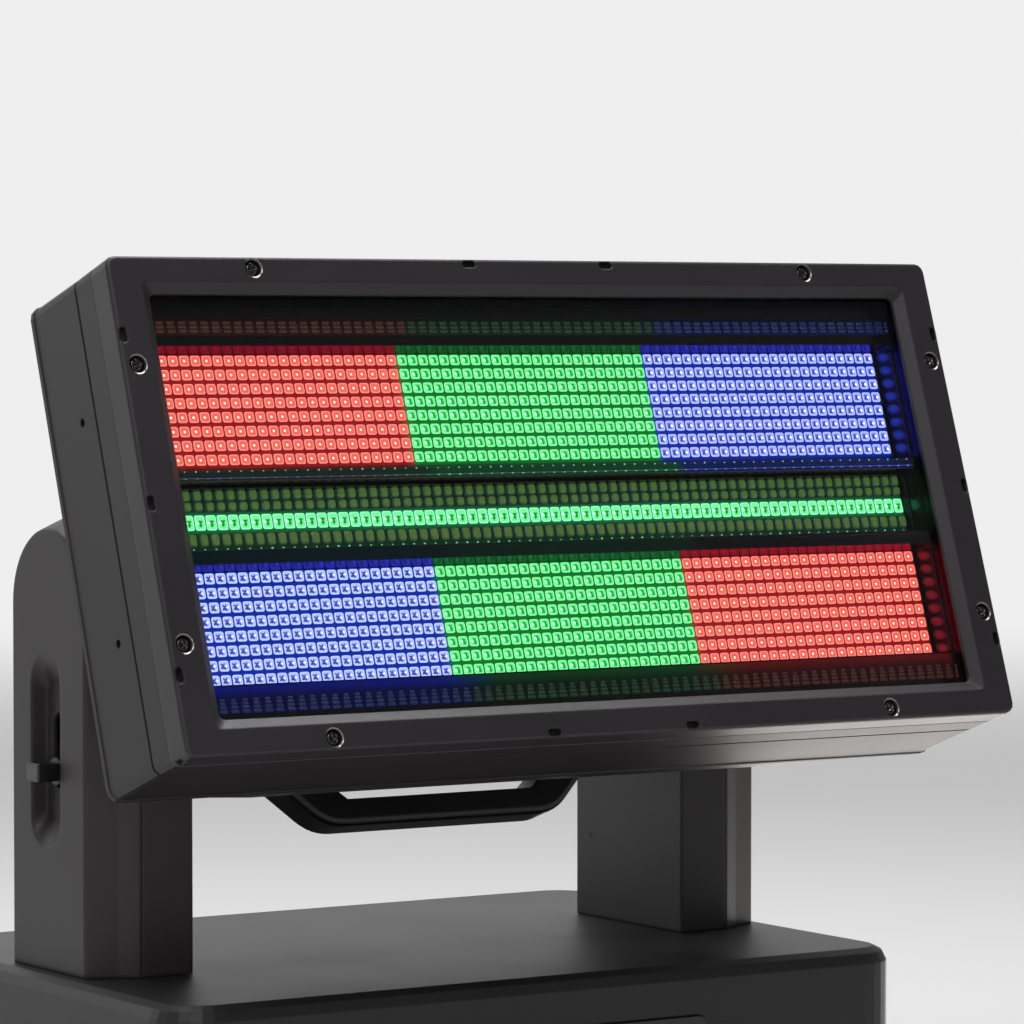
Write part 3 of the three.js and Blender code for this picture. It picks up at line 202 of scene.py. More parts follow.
def glossy(name, colour, rough=0.1, edge=0.0004, level=0.5):
    """Moulded glossy plastic with a faint ripple."""
    mat, nodes, links, bsdf = new_material(name)
    at = coordinates(nodes, links)
    slow = noise(nodes, links, at, 60, 2)
    links.new(spread(nodes, links, slow, rough * 0.7, rough * 1.4), bsdf.inputs["Roughness"])
    links.new(two_tones(nodes, links, slow, toned(colour, 0.8), colour), bsdf.inputs["Base Color"])
    bsdf.inputs["Specular IOR Level"].default_value = level
    links.new(soften_edges(nodes, links, edge), bsdf.inputs["Normal"])
    return mat


def metal(name, colour, rough=(0.25, 0.4), streak=(1, 1, 60), edge=0.0003):
    """Bare metal with drawn streaks."""
    mat, nodes, links, bsdf = new_material(name)
    at = coordinates(nodes, links, streak)
    lines = noise(nodes, links, at, 60, 6, 0.7)
    links.new(two_tones(nodes, links, lines, toned(colour, 0.85), colour), bsdf.inputs["Base Color"])
    links.new(spread(nodes, links, lines, *rough), bsdf.inputs["Roughness"])
    bsdf.inputs["Metallic"].default_value = 1.0
    if edge:
        links.new(soften_edges(nodes, links, edge), bsdf.inputs["Normal"])
    return mat


def mirrored_switch(nodes, links, bsdf, direct, deep):
    """Emission that is pale where it is seen straight on and deep where a glossy surface mirrors it."""
    path = nodes.new("ShaderNodeLightPath")
    both = nodes.new("ShaderNodeMath")
    both.operation = "MULTIPLY"
    links.new(path.outputs["Is Glossy Ray"], both.inputs[0])
    links.new(path.outputs["Is Reflection Ray"], both.inputs[1])
    mix = nodes.new("ShaderNodeMix")
    mix.data_type = "RGBA"
    mix.inputs["A"].default_value = direct
    mix.inputs["B"].default_value = deep
    links.new(both.outputs["Value"], mix.inputs["Factor"])
    links.new(mix.outputs["Result"], bsdf.inputs["Emission Color"])


def glowing(name, colour, strength=1.0, deep=None):
    """A surface with its own light, for the lamps' parts and for painted reflections and glints: its colour
    is its own light, and deep is its colour where it is mirrored.
    """
    mat, nodes, links, bsdf = new_material(name)
    bsdf.inputs["Base Color"].default_value = (0.02, 0.02, 0.02, 1)
    bsdf.inputs["Roughness"].default_value = 0.35
    bsdf.inputs["Emission Color"].default_value = colour
    bsdf.inputs["Emission Strength"].default_value = strength
    if deep:
        mirrored_switch(nodes, links, bsdf, colour, deep)
    mat.cycles.emission_sampling = "NONE"
    return mat


paint = coated("head_powder_coat", linear(50, 46, 50), (0.38, 0.48), 1100, 0.00025, edge=0.0014)
frame_coat = coated("frame_powder_coat", linear(40, 35, 38), (0.44, 0.54), 1500, 0.00008)
arm_coat = coated("arm_powder_coat", linear(55, 50, 51), (0.42, 0.52), 1800, 0.00006, edge=0.0026)
base_coat = coated("base_powder_coat", linear(40, 38, 40), (0.42, 0.52), 1800, 0.00006, edge=0.0014)
cover_plastic = coated("cover_plastic", linear(40, 38, 41), (0.4, 0.5), 1600, 0.00006, edge=0.0012)
handle_plastic = coated("handle_plastic", linear(24, 23, 24), (0.34, 0.44), 1800, 0.00005, edge=0.0016)
fan_plastic = coated("fan_plastic", linear(30, 30, 32), (0.4, 0.5))
button_plastic = coated("button_plastic", linear(92, 92, 95), (0.35, 0.45), 2500, 0.00003, edge=0.0005)
socket_plastic = coated("socket_plastic", linear(28, 36, 62), (0.35, 0.45), 2000, 0.00003)
rubber = coated("rubber", linear(26, 26, 27), (0.7, 0.85), 1500, 0.00008, edge=0.0006)
belt_rubber = coated("belt_rubber", linear(24, 24, 25), (0.7, 0.8))
seal_rubber = coated("seal_rubber", linear(16, 16, 17), (0.5, 0.6))
lever_metal = coated("lever_metal", linear(34, 33, 34), (0.26, 0.36), 2500, 0.00003, edge=0.0007)
knob_pale_end = coated("knob_face", linear(84, 80, 80), (0.24, 0.32), 1800, 0.00003, edge=0.0004)
tray_gloss = glossy("tray_gloss", (0.0022, 0.0022, 0.0028, 1), 0.2, level=0.32)
reflector_gloss = glossy("reflector_gloss", (0.003, 0.004, 0.003, 1), 0.12)
panel_gloss = glossy("panel_gloss", (0.006, 0.006, 0.007, 1), 0.14, 0.0006)
aluminium = metal("bare_aluminium", linear(196, 198, 200), (0.3, 0.45))
machined = metal("machined_aluminium", linear(205, 207, 210), (0.2, 0.32), (60, 1, 1))
axle_steel = metal("axle_steel", linear(170, 171, 174), (0.18, 0.3), (60, 1, 1))
plate_steel = metal("plate_steel", linear(165, 166, 168), (0.3, 0.42), (40, 1, 1))
nickel = metal("nickel", linear(190, 188, 182), (0.15, 0.25), (1, 1, 30))
motor_dark = metal("motor_dark", linear(60, 60, 63), (0.3, 0.45))
black_zinc = metal("black_zinc", linear(52, 51, 54), (0.2, 0.34), (30, 1, 30), edge=0.0002)


def board_material(name, colour, traces):
    """Solder mask with a faint pattern of copper underneath."""
    mat, nodes, links, bsdf = new_material(name)
    at = coordinates(nodes, links)
    brick = nodes.new("ShaderNodeTexBrick")
    brick.inputs["Scale"].default_value = 90
    brick.inputs["Mortar Size"].default_value = 0.03
    brick.inputs["Color1"].default_value = colour
    brick.inputs["Color2"].default_value = toned(colour, 0.9)
    brick.inputs["Mortar"].default_value = traces
    links.new(at, brick.inputs["Vector"])
    links.new(brick.outputs["Color"], bsdf.inputs["Base Color"])
    bsdf.inputs["Roughness"].default_value = 0.35
    return mat


circuit = board_material("circuit_board", linear(16, 74, 44), linear(30, 104, 62))

# Light panels: the grid of packages, the heights of their rows and the boards that carry them
COLUMNS = 72
PITCH_X = 5.8
ROWS = 8
PITCH_U = 6.757
UPPER_TOP = 75.2
LOWER_TOP = -27.8
STROBE_U = -1.6
LAMP_SIZE = 5.0
STROBE_LAMP_WIDTH = 5.25
STROBE_LAMP_HEIGHT = 7.1
BOARD_FRONT = 29.7
LIGHT_TOP = 28.9
ZONE = COLUMNS // 3
ZONE_EDGE = ZONE / 2 * PITCH_X
BOARD_REACH = 209.2
RAMP_REACH = 0.25


def head_height(nodes, links, where, node):
    """Height up the face in millimetres, worked out from a node's own coordinates."""
    to_head = HEAD.inverted() @ node.matrix_world
    dot = nodes.new("ShaderNodeVectorMath")
    dot.operation = "DOT_PRODUCT"
    dot.inputs[1].default_value = tuple(v / MM for v in to_head[2][:3])
    links.new(where.outputs["Object"], dot.inputs[0])
    shift = nodes.new("ShaderNodeMath")
    shift.operation = "ADD"
    shift.inputs[1].default_value = to_head[2][3] / MM
    links.new(dot.outputs["Value"], shift.inputs[0])
    return shift.outputs["Value"]


def zone_stops(left, middle, right, soft):
    """Stops of a ramp across the face: three zones, black past the boards' ends."""
    black = (0, 0, 0, 1)
    hard = 0.001
    edge = ZONE_EDGE * MM / (2 * RAMP_REACH)
    end = BOARD_REACH * MM / (2 * RAMP_REACH)
    return [
        (0.0, black),
        (0.5 - end, black),
        (0.5 + hard - end, left),
        (0.5 - edge - soft, left),
        (0.5 - edge + soft, middle),
        (0.5 + edge - soft, middle),
        (0.5 + edge + soft, right),
        (0.5 - hard + end, right),
        (0.5 + end, black),
        (1.0, black),
    ]


def zone_board(name, colours, node=None, middle_up=0.0, half=0.0, fade=2.5, rest=0.12, soft=0.004):
    """A surface that glows with painted light in the colours of the three zones, fading past the lamps' rows
    on a board.
    """
    mat, nodes, links, bsdf = new_material(name)
    where = nodes.new("ShaderNodeTexCoord")
    split = nodes.new("ShaderNodeSeparateXYZ")
    links.new(where.outputs["Object"], split.inputs["Vector"])
    across = nodes.new("ShaderNodeMapRange")
    across.inputs["From Min"].default_value = -RAMP_REACH
    across.inputs["From Max"].default_value = RAMP_REACH
    links.new(split.outputs["X"], across.inputs["Value"])
    glow = ramp(nodes, links, across.outputs["Result"], zone_stops(*colours, soft))
    links.new(glow, bsdf.inputs["Emission Color"])
    bsdf.inputs["Emission Strength"].default_value = 1.0
    if node:
        away = nodes.new("ShaderNodeMath")
        away.operation = "SUBTRACT"
        away.inputs[1].default_value = middle_up
        links.new(head_height(nodes, links, where, node), away.inputs[0])
        size = nodes.new("ShaderNodeMath")
        size.operation = "ABSOLUTE"
        links.new(away.outputs["Value"], size.inputs[0])
        falloff = nodes.new("ShaderNodeMapRange")
        falloff.interpolation_type = "SMOOTHSTEP"
        falloff.inputs["From Min"].default_value = half
        falloff.inputs["From Max"].default_value = half + fade
        falloff.inputs["To Min"].default_value = 1.0
        falloff.inputs["To Max"].default_value = rest
        links.new(size.outputs["Value"], falloff.inputs["Value"])
        links.new(falloff.outputs["Result"], bsdf.inputs["Emission Strength"])
    bsdf.inputs["Base Color"].default_value = (0.006, 0.006, 0.007, 1)
    bsdf.inputs["Roughness"].default_value = 0.4
    mat.cycles.emission_sampling = "NONE"
    return mat


# Colours of the painted light on the boards between the lamps, which the lamps' cases glow in too
GAP_RED = linear(140, 14, 14)
GAP_GREEN = linear(0, 112, 40)
GAP_BLUE = linear(2, 34, 156)
GAP_STROBE = linear(8, 100, 52)
PANEL_MIDDLE = (ROWS - 1) / 2 * PITCH_U
PANEL_HALF = PANEL_MIDDLE + 2.4
STROBE_HALF = 3.6


def panel_board(name, colours, top):
    """The mask of a colour panel's board, with painted light round its rows of lamps."""
    node = nodes_by_name[f"{name}_led_board"]
    return zone_board(f"{name}_board_mask", colours, node, top - PANEL_MIDDLE, PANEL_HALF)


upper_board = panel_board("upper", (GAP_RED, GAP_GREEN, GAP_BLUE), UPPER_TOP)
lower_board = panel_board("lower", (GAP_BLUE, GAP_GREEN, GAP_RED), LOWER_TOP)
# The strobe board's mask, with painted green light round its row of lamps
strobe_board = zone_board(
    "strobe_board_mask",
    (GAP_STROBE, GAP_STROBE, GAP_STROBE),
    nodes_by_name["strobe_led_board"],
    middle_up=STROBE_U,
    half=STROBE_HALF,
    fade=2.2,
    rest=0.14,
)


def glass_material():
    mat, nodes, links, bsdf = new_material("front_glass")
    bsdf.inputs["Base Color"].default_value = (1, 1, 1, 1)
    bsdf.inputs["Roughness"].default_value = 0.0
    bsdf.inputs["IOR"].default_value = 1.5
    bsdf.inputs["Transmission Weight"].default_value = 1.0
    bsdf.inputs["Specular Tint"].default_value = (0.12, 0.12, 0.14, 1)
    return mat


glass = glass_material()


def display_material():
    """A tinted window with a softly lit, blank screen behind it."""
    mat, nodes, links, bsdf = new_material("display_glass")
    at = coordinates(nodes, links)
    slow = noise(nodes, links, at, 30, 1)
    tones = two_tones(nodes, links, slow, linear(10, 26, 66), linear(18, 42, 96))
    links.new(tones, bsdf.inputs["Base Color"])
    bsdf.inputs["Roughness"].default_value = 0.06
    bsdf.inputs["Coat Weight"].default_value = 1.0
    bsdf.inputs["Emission Color"].default_value = linear(20, 50, 130)
    bsdf.inputs["Emission Strength"].default_value = 0.35
    return mat


display = display_material()

dressing = {
    paint: ["front_bezel"],
    frame_coat: ["head_frame", "rear_housing"],
    cover_plastic: ["back_cover"],
    handle_plastic: ["carry_handle"],
    tray_gloss: ["led_baffle"],
    reflector_gloss: ["strobe_reflector"],
    glass: ["front_glass"],
    seal_rubber: ["glass_seal"],
    black_zinc: [f"bezel_screw_{i}" for i in range(1, 9)],
    upper_board: ["upper_led_board"],
    lower_board: ["lower_led_board"],
    strobe_board: ["strobe_led_board"],
    aluminium: ["heat_sink", "power_supply"],
    circuit: ["driver_board", "main_board"],
    fan_plastic: ["fan_frame_left", "fan_frame_right", "fan_rotor_left", "fan_rotor_right"],
    axle_steel: ["tilt_axle_left", "tilt_axle_right", "left_bearing", "right_bearing", "lock_disc"],
    machined: ["tilt_pulley", "motor_pulley"],
    arm_coat: ["left_arm_frame", "right_arm_frame", "left_arm_cover", "right_arm_cover"],
    belt_rubber: ["tilt_belt"],
    motor_dark: ["tilt_motor"],
    lever_metal: ["lock_lever"],
    base_coat: ["base_shell"],
    plate_steel: ["base_plate"],
    rubber: ["foot_front_left", "foot_front_right", "foot_back_left", "foot_back_right"],
    panel_gloss: ["control_panel"],
    display: ["display_window"],
    button_plastic: ["button_menu", "button_up", "button_down", "button_enter"],
    socket_plastic: ["power_inlet", "power_outlet", "fuse_holder"],
    nickel: ["data_in", "data_out", "safety_eye"],
}
for material, names in dressing.items():
    for name in names:
        node = nodes_by_name[name]
        node.data.materials.clear()
        node.data.materials.append(material)


# Making pieces
class Builder:
    """Collects one mesh: points in mm as x, depth and up, and faces, each marked with its material."""

    def __init__(self):
        self.verts = []
        self.faces = []
        self.marks = []

    def points(self, places):
        start = len(self.verts)
        self.verts.extend(places)
        return list(range(start, len(self.verts)))

    def ring(self, outline, depth, cx=0.0, cu=0.0):
        return self.points([(x + cx, depth, u + cu) for x, u in outline])

    def wall(self, a, b, mark):
        count = len(a)
        for i in range(count):
            j = (i + 1) % count
            self.faces.append((a[i], a[j], b[j], b[i]))
            self.marks.append(mark)

    def cap(self, ring, mark):
        self.faces.append(tuple(ring))
        self.marks.append(mark)

    def dome(self, rings, mark):
        for a, b in zip(rings, rings[1:]):
            self.wall(a, b, mark)
        self.cap(rings[-1], mark)

    def piece(self, name, looks, body, slot, at=HEAD, smooth=False):
        """The finished piece, in the head's frame unless said."""
        mesh = bpy.data.meshes.new(name)
        mesh.from_pydata([Vector(v) * MM for v in self.verts], [], self.faces)
        for look in looks:
            mesh.materials.append(look)
        mesh.polygons.foreach_set("material_index", self.marks)
        if smooth:
            mesh.polygons.foreach_set("use_smooth", [True] * len(mesh.polygons))
        mesh.update()
        piece = bpy.data.objects.new(name, mesh)
        bpy.context.scene.collection.objects.link(piece)
        piece.matrix_world = at
        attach(piece, body)
        return piece


def rounded(width, height, radius, steps=2):
    points = []
    for cx, cy, start in ((1, 1, 0), (-1, 1, 90), (-1, -1, 180), (1, -1, 270)):
        for i in range(steps + 1):
            angle = math.radians(start + 90 * i / steps)
            x = cx * (width / 2 - radius) + radius * math.cos(angle)
            y = cy * (height / 2 - radius) + radius * math.sin(angle)
            points.append((x, y))
    return points


def oval(radius_x, radius_u, count=8):
    return [
        (radius_x * math.cos(2 * math.pi * i / count), radius_u * math.sin(2 * math.pi * i / count))
        for i in range(count)
    ]


RIM_MARK, WELL_MARK, SOFT_MARK, DARK_MARK, SPOT_MARK, CASE_MARK = range(6)
LAMP_CORNER = 1.0
LAMP_EDGE = 0.25
LAMP_EDGE_DEPTH = 0.15
LAMP_RIM = 0.55
WELL_SLOPE = 0.4
WELL_DEPTH = 0.25
SOFT_DEPTH = 0.235
DARK_DEPTH = 0.22
SPOT_DEPTH = 0.21
SPOT_TOP_DEPTH = 0.1
SPOT_TOP_SHARE = 0.8


def lamp(build, cx, cu, width, height, look):
    """One light package: case, lit rim, shallow well, contact patches over it and the die's spot."""

    def square(inset, corner, depth):
        return build.ring(rounded(width - inset, height - inset, corner, 3), depth, cx, cu)

    base = square(0, LAMP_CORNER, BOARD_FRONT)
    side = square(0, LAMP_CORNER, LIGHT_TOP + LAMP_EDGE_DEPTH)
    top = square(LAMP_EDGE, LAMP_CORNER - 0.1, LIGHT_TOP)
    lip = square(2 * LAMP_RIM, LAMP_CORNER - 0.2, LIGHT_TOP)
    well = square(2 * LAMP_RIM + WELL_SLOPE, LAMP_CORNER - 0.3, LIGHT_TOP + WELL_DEPTH)
    build.wall(base, side, CASE_MARK)
    build.wall(side, top, RIM_MARK)
    build.wall(top, lip, RIM_MARK)
    build.wall(lip, well, WELL_MARK)
    build.cap(well, WELL_MARK)
    for patch in look["soft"]:
        build.cap(build.ring(patch, LIGHT_TOP + SOFT_DEPTH, cx, cu), SOFT_MARK)
    for patch in look["dark"]:
        build.cap(build.ring(patch, LIGHT_TOP + DARK_DEPTH, cx, cu), DARK_MARK)
    sx, su, radius = look["spot"]
    rings = []
    for share, depth in ((1, SPOT_DEPTH), (SPOT_TOP_SHARE, SPOT_TOP_DEPTH)):
        outline = oval(radius * share, radius * share)
        rings.append(build.ring(outline, LIGHT_TOP + depth, cx + sx, cu + su))
    build.dome(rings, SPOT_MARK)


# What shows inside a lit package of each kind: soft and dark patches, and the die's spot as x, u and radius
LOOKS = {
    "red": {
        "soft": [oval(1.2, 1.2)],
        "dark": [
            [(-1.2, 0.3), (-1.35, 0.05), (-1.2, -0.2), (-1.05, 0.05)],
            [(0.1, 1.25), (-0.1, 1.4), (0.1, 1.55), (0.3, 1.4)],
            [(1.15, -1.1), (0.95, -1.3), (1.15, -1.5), (1.35, -1.3)],
        ],
        "spot": (0.0, 0.0, 0.72),
    },
    "green": {
        "soft": [
            [(-0.9, 1.45), (1.3, 1.5), (1.6, 0.4), (1.6, -1.2), (0.9, -1.65), (-0.2, -1.55), (-0.3, 0.3)],
        ],
        "dark": [
            [(-0.65, 1.15), (0.2, 1.3), (0.95, 0.95), (0.75, 0.3), (1.25, -0.5), (0.9, -1.35), (0.0, -1.35)]
            + [(0.35, -0.7), (0.05, -0.2), (0.15, 0.25), (-0.1, 0.7)],
        ],
        "spot": (-0.8, -0.05, 0.85),
    },
    "blue": {
        "soft": [[(-1.6, 1.4), (0.9, 1.45), (0.3, 0.0), (1.1, -1.5), (-1.5, -1.5), (-1.2, 0.0)]],
        "dark": [
            [(-1.5, 1.2), (-1.2, 0.35), (-0.5, -0.1), (0.05, 0.1), (0.6, 1.0), (0.4, 1.35), (-0.3, 0.65)],
            [(-0.4, 0.1), (-1.2, -0.3), (-1.5, -1.35), (-0.4, -1.0)]
            + [(0.55, -1.5), (0.7, -1.15), (0.05, -0.15)],
        ],
        "spot": (0.95, -0.05, 0.85),
    },
}
LOOKS["blue_low"] = {
    "soft": [],
    "dark": [
        [(-1.8, 1.25), (-1.3, 0.4), (-0.6, -0.05), (0.15, 0.1)]
        + [(0.75, 1.15), (0.45, 1.5), (-0.3, 0.75), (-1.0, 1.1)],
        [(-0.45, 0.1), (-1.3, -0.3), (-1.8, -1.45), (-0.5, -1.15), (0.6, -1.65), (1.1, -1.2), (0.15, -0.2)],
    ],
    "spot": (1.25, 0.1, 0.6),
}
LOOKS["strobe"] = {
    "soft": [[(-0.9, 1.3), (1.7, 1.4), (1.5, -0.8), (0.6, -2.4), (-0.7, -1.6), (-0.9, -0.2)]],
    "dark": [
        [(-0.75, 1.0), (1.45, 1.05), (1.4, 0.45), (0.8, 0.3), (-0.2, 0.3), (-0.75, 0.5)],
        [(0.8, 0.4), (0.75, -0.5), (1.1, -0.9), (0.15, -2.2), (-0.6, -1.1), (-0.15, -0.8), (-0.1, 0.4)],
    ],
    "spot": (-1.35, -0.05, 0.8),
}


def widened(patch, middle, share_x, share_u):
    """A patch stretched about its middle's x and the package's height."""
    return [(middle + (x - middle) * share_x, u * share_u) for x, u in patch]


LOOKS["green"]["dark"] = [
    widened(patch, middle=0.15, share_x=1.25, share_u=1.1) for patch in LOOKS["green"]["dark"]
]

# Screen colours of rim, well, soft patch, dark patch and spot
LAMP_COLOURS = {
    "red": [(255, 140, 130), (240, 98, 90), (208, 92, 72), (200, 58, 52), (255, 236, 200)],
    "green": [(134, 255, 160), (98, 238, 134), (70, 218, 112), (8, 146, 60), (186, 255, 216)],
    "blue": [(182, 194, 252), (152, 168, 248), (118, 132, 238), (36, 32, 160), (236, 248, 255)],
    "blue_low": [(186, 208, 250), (168, 184, 248), (130, 142, 240), (46, 38, 160), (226, 240, 255)],
    "strobe": [(150, 255, 196), (112, 240, 152), (92, 226, 128), (2, 128, 46), (206, 255, 232)],
}
CASES = {
    "red": GAP_RED,
    "green": GAP_GREEN,
    "blue": GAP_BLUE,
    "blue_low": GAP_BLUE,
    "strobe": linear(10, 120, 60),
}
# Mirrored colours, and how much of them each part of a package gives
DEEP = {
    "red": (1.1, 0.015, 0.07),
    "green": (0.02, 0.5, 0.1),
    "blue": (0.08, 0.1, 1.7),
    "blue_low": (0.08, 0.1, 1.7),
    "strobe": (0.02, 0.45, 0.14),
}
PART_NAMES = ["rim", "well", "soft", "contact", "die"]
DEEP_SHARES = [0.8, 0.7, 0.6, 0.3, 1.6]
CASE_DEEP_SHARE = 0.15
LIT = 1.12
CASE_LIT = 1.3


def lamp_materials(kind):
    looks = []
    for part, colour, share in zip(PART_NAMES, LAMP_COLOURS[kind], DEEP_SHARES):
        looks.append(glowing(f"lamp_{kind}_{part}", linear(*colour), LIT, deep=toned(DEEP[kind], share)))
    deep = toned(DEEP[kind], CASE_DEEP_SHARE)
    return looks + [glowing(f"lamp_{kind}_case", CASES[kind], CASE_LIT, deep=deep)]


materials = {kind: lamp_materials(kind) for kind in LAMP_COLOURS}


def column_x(c):
    return (c - (COLUMNS - 1) / 2) * PITCH_X


def light_panel(name, kind, zone, top):
    build = Builder()
    for row in range(ROWS):
        for c in range(zone * ZONE, (zone + 1) * ZONE):
            lamp(build, column_x(c), top - row * PITCH_U, LAMP_SIZE, LAMP_SIZE, LOOKS[kind])
    build.piece(name, materials[kind], "head", "led_board")


for zone, kind in enumerate(("red", "green", "blue")):
    light_panel(f"upper_lamps_{kind}", kind, zone, UPPER_TOP)
for zone, kind in enumerate(("blue_low", "green", "red")):
    light_panel(f"lower_lamps_{kind}", kind, zone, LOWER_TOP)


def strobe_row():
    build = Builder()
    for c in range(COLUMNS):
        lamp(build, column_x(c), STROBE_U, STROBE_LAMP_WIDTH, STROBE_LAMP_HEIGHT, LOOKS["strobe"])
    build.piece("strobe_lamps", materials["strobe"], "head", "led_board")


strobe_row()


# Unlit phosphor cells beside the strobe row: rounded domes with a ridge of light. Their glow is painted
# light from the lamps, and they are paler at the core and darker at the sides and edges as painted shade
# A material with its own colour and an emitted glow, which is painted light from the lamps
def phosphor(name, colour, glow):
    mat, nodes, links, bsdf = new_material(name)
    at = coordinates(nodes, links)
    grain = noise(nodes, links, at, 900, 2)
    tones = ramp(nodes, links, grain, [(0.35, toned(colour, 0.65)), (0.65, colour)])
    links.new(tones, bsdf.inputs["Base Color"])
    bsdf.inputs["Roughness"].default_value = 0.3
    bsdf.inputs["Coat Weight"].default_value = 0.4
    bsdf.inputs["Emission Color"].default_value = glow
    bsdf.inputs["Emission Strength"].default_value = 1.0
    mat.cycles.emission_sampling = "NONE"
    return mat


# Lit and shaded copies of one phosphor: a painted lit core, a painted half-shaded side and a painted shaded
# edge
cell_core_painted_lit = phosphor("phosphor_core", linear(96, 104, 50), linear(60, 90, 42))
cell_side_painted_half_shade = phosphor("phosphor_side", linear(60, 74, 44), linear(44, 74, 42))
cell_edge_painted_shade = phosphor("phosphor_edge", linear(34, 46, 32), linear(20, 44, 32))
CORE_MARK, SIDE_MARK, EDGE_MARK = range(3)
# Each row's middle height and the height of its cells
CELL_ROWS = [(10.8, 5.2), (5.6, 4.5), (-10.1, 6.3)]
CELL_WIDTH = 4.3
CELL_FRONT = 27.4
# A cell's rings: shares of its width and height, corner, depth, and shifts across and up, which set the lit
# core to the right so the painted shade is wider on the left
CELL_RINGS = [
    (1.0, 1.0, 1.3, BOARD_FRONT, 0.0, 0.0),
    (1.0, 1.0, 1.3, CELL_FRONT + 1.0, 0.0, 0.0),
    (0.9, 0.92, 1.25, CELL_FRONT + 0.5, 0.0, 0.0),
    (0.72, 0.78, 1.0, CELL_FRONT + 0.15, 0.3, 0.15),
    (0.4, 0.5, 0.6, CELL_FRONT, 0.5, 0.2),
]


def phosphor_cells():
    build = Builder()
    for centre, height in CELL_ROWS:
        for c in range(COLUMNS):
            rings = []
            for wide, high, corner, depth, across, up in CELL_RINGS:
                outline = rounded(CELL_WIDTH * wide, height * high, corner, 3)
                rings.append(build.ring(outline, depth, column_x(c) + across, centre + up))
            build.wall(rings[0], rings[1], EDGE_MARK)
            build.wall(rings[1], rings[2], EDGE_MARK)
            build.wall(rings[2], rings[3], SIDE_MARK)
            build.dome(rings[3:], CORE_MARK)
    build.piece("phosphor_cells", [cell_core_painted_lit, cell_side_painted_half_shade, cell_edge_painted_shade], "head", "led_board", smooth=True)


phosphor_cells()

# Ribbed reflector strips above and below the panels, on the tray's plate, glowing in the zones' colours as a
# painted reflection of the lamps
TRAY_FACE = 16.0
strip_painted_glow = {
    "red": linear(52, 29, 20),
    "green": linear(19, 44, 27),
    "blue": linear(18, 31, 70),
}
STRIP_PLASTIC = linear(22, 22, 20)
strip_materials = [phosphor(f"strip_{kind}", STRIP_PLASTIC, glow) for kind, glow in strip_painted_glow.items()]
# A rib's rings: shares of its width and height, corner as a share of its height, and rise
RIB_RINGS = [(1.0, 0.86, 0.4, 0.0), (0.94, 0.7, 0.34, 0.35), (0.8, 0.3, 0.14, 0.5)]


def ribbed_strip(name, top, ribs, order):
    """Columns of ribs at the lamps' pitch. Each rib has its width and height, and each zone its material,
    whose glow is painted reflection.
    """
    build = Builder()
    for c in range(-1, COLUMNS + 1):
        zone = min(2, max(0, c // ZONE))
        u = top
        for width, height in ribs:
            rings = []
            for wide, high, corner, rise in RIB_RINGS:
                outline = rounded(width * wide, height * high, height * corner, 2)
                rings.append(build.ring(outline, TRAY_FACE - rise, column_x(c), u - height / 2))
            build.dome(rings, order[zone])
            u -= height
    build.piece(name, strip_materials, "head", "tray_gloss", smooth=True)


ribbed_strip("upper_strip", 90.0, [(4.0, 1.9), (4.2, 2.0), (4.2, 2.0)], [0, 1, 2])
ribbed_strip("lower_strip", -86.6, [(2.6, 1.5), (3.2, 1.7), (3.8, 1.9), (4.3, 2.0)], [2, 1, 0])


# Painted light: the plate glows faintly round the ribs, and deeply next to the lamps, as the lamps' spill
# light
BED_RED = linear(46, 18, 12)
BED_GREEN = linear(12, 40, 20)
BED_BLUE = linear(6, 18, 66)
DEEP_RED = linear(72, 6, 8)
DEEP_GREEN = linear(2, 46, 18)
DEEP_BLUE = linear(2, 10, 98)
BED_REACH = 209.5
BED_RISE = 0.12


def strip_bed(name, near, far, order, strength, rest, fade):
    """A thin plate with painted light that falls off from the height nearest the lamps."""
    mat = zone_board(f"{name}_glow", order, soft=0.03)
    nodes, links = mat.node_tree.nodes, mat.node_tree.links
    bsdf = nodes["Principled BSDF"]
    falloff = nodes.new("ShaderNodeMapRange")
    falloff.interpolation_type = "SMOOTHSTEP"
    falloff.inputs["From Min"].default_value = near * MM
    falloff.inputs["From Max"].default_value = (near + (far - near) * fade) * MM
    falloff.inputs["To Min"].default_value = strength
    falloff.inputs["To Max"].default_value = rest
    links.new(nodes["Separate XYZ"].outputs["Z"], falloff.inputs["Value"])
    links.new(falloff.outputs["Result"], bsdf.inputs["Emission Strength"])
    bsdf.inputs["Specular IOR Level"].default_value = 0.15
    build = Builder()
    low, high = sorted((near, far))
    outline = [(-BED_REACH, low), (BED_REACH, low), (BED_REACH, high), (-BED_REACH, high)]
    build.cap(build.ring(outline, TRAY_FACE - BED_RISE), 0)
    build.piece(name, [mat], "head", "tray_gloss")


upper_bed = (BED_RED, BED_GREEN, BED_BLUE)
lower_bed = (DEEP_BLUE, DEEP_GREEN, DEEP_RED)
strip_bed("upper_strip_bed", 83.0, 91.5, upper_bed, strength=0.7, rest=0.2, fade=1.0)
strip_bed("lower_strip_bed", -81.1, -94.0, lower_bed, strength=1.1, rest=0.24, fade=0.5)


# Rounded lips along the tray's bars, which glow in the lamps' colours as a painted reflection of the lamps
LAST_STOP = 0.88


def painted_bar_reflection(name, left, middle, right, last):
    """A bar's painted reflection of the lamps in the three zones' colours, which turns to the last colour at
    its right end.
    """
    mat = zone_board(name, (left, middle, right))
    bsdf = mat.node_tree.nodes["Principled BSDF"]
    bsdf.inputs["Base Color"].default_value = (0.003, 0.003, 0.004, 1)
    bsdf.inputs["Roughness"].default_value = 0.4
    bsdf.inputs["Specular IOR Level"].default_value = 0.06
    stops = mat.node_tree.nodes["Color Ramp"].color_ramp.elements
    stops.new(LAST_STOP).color = right
    stops[-3].color = last
    return mat


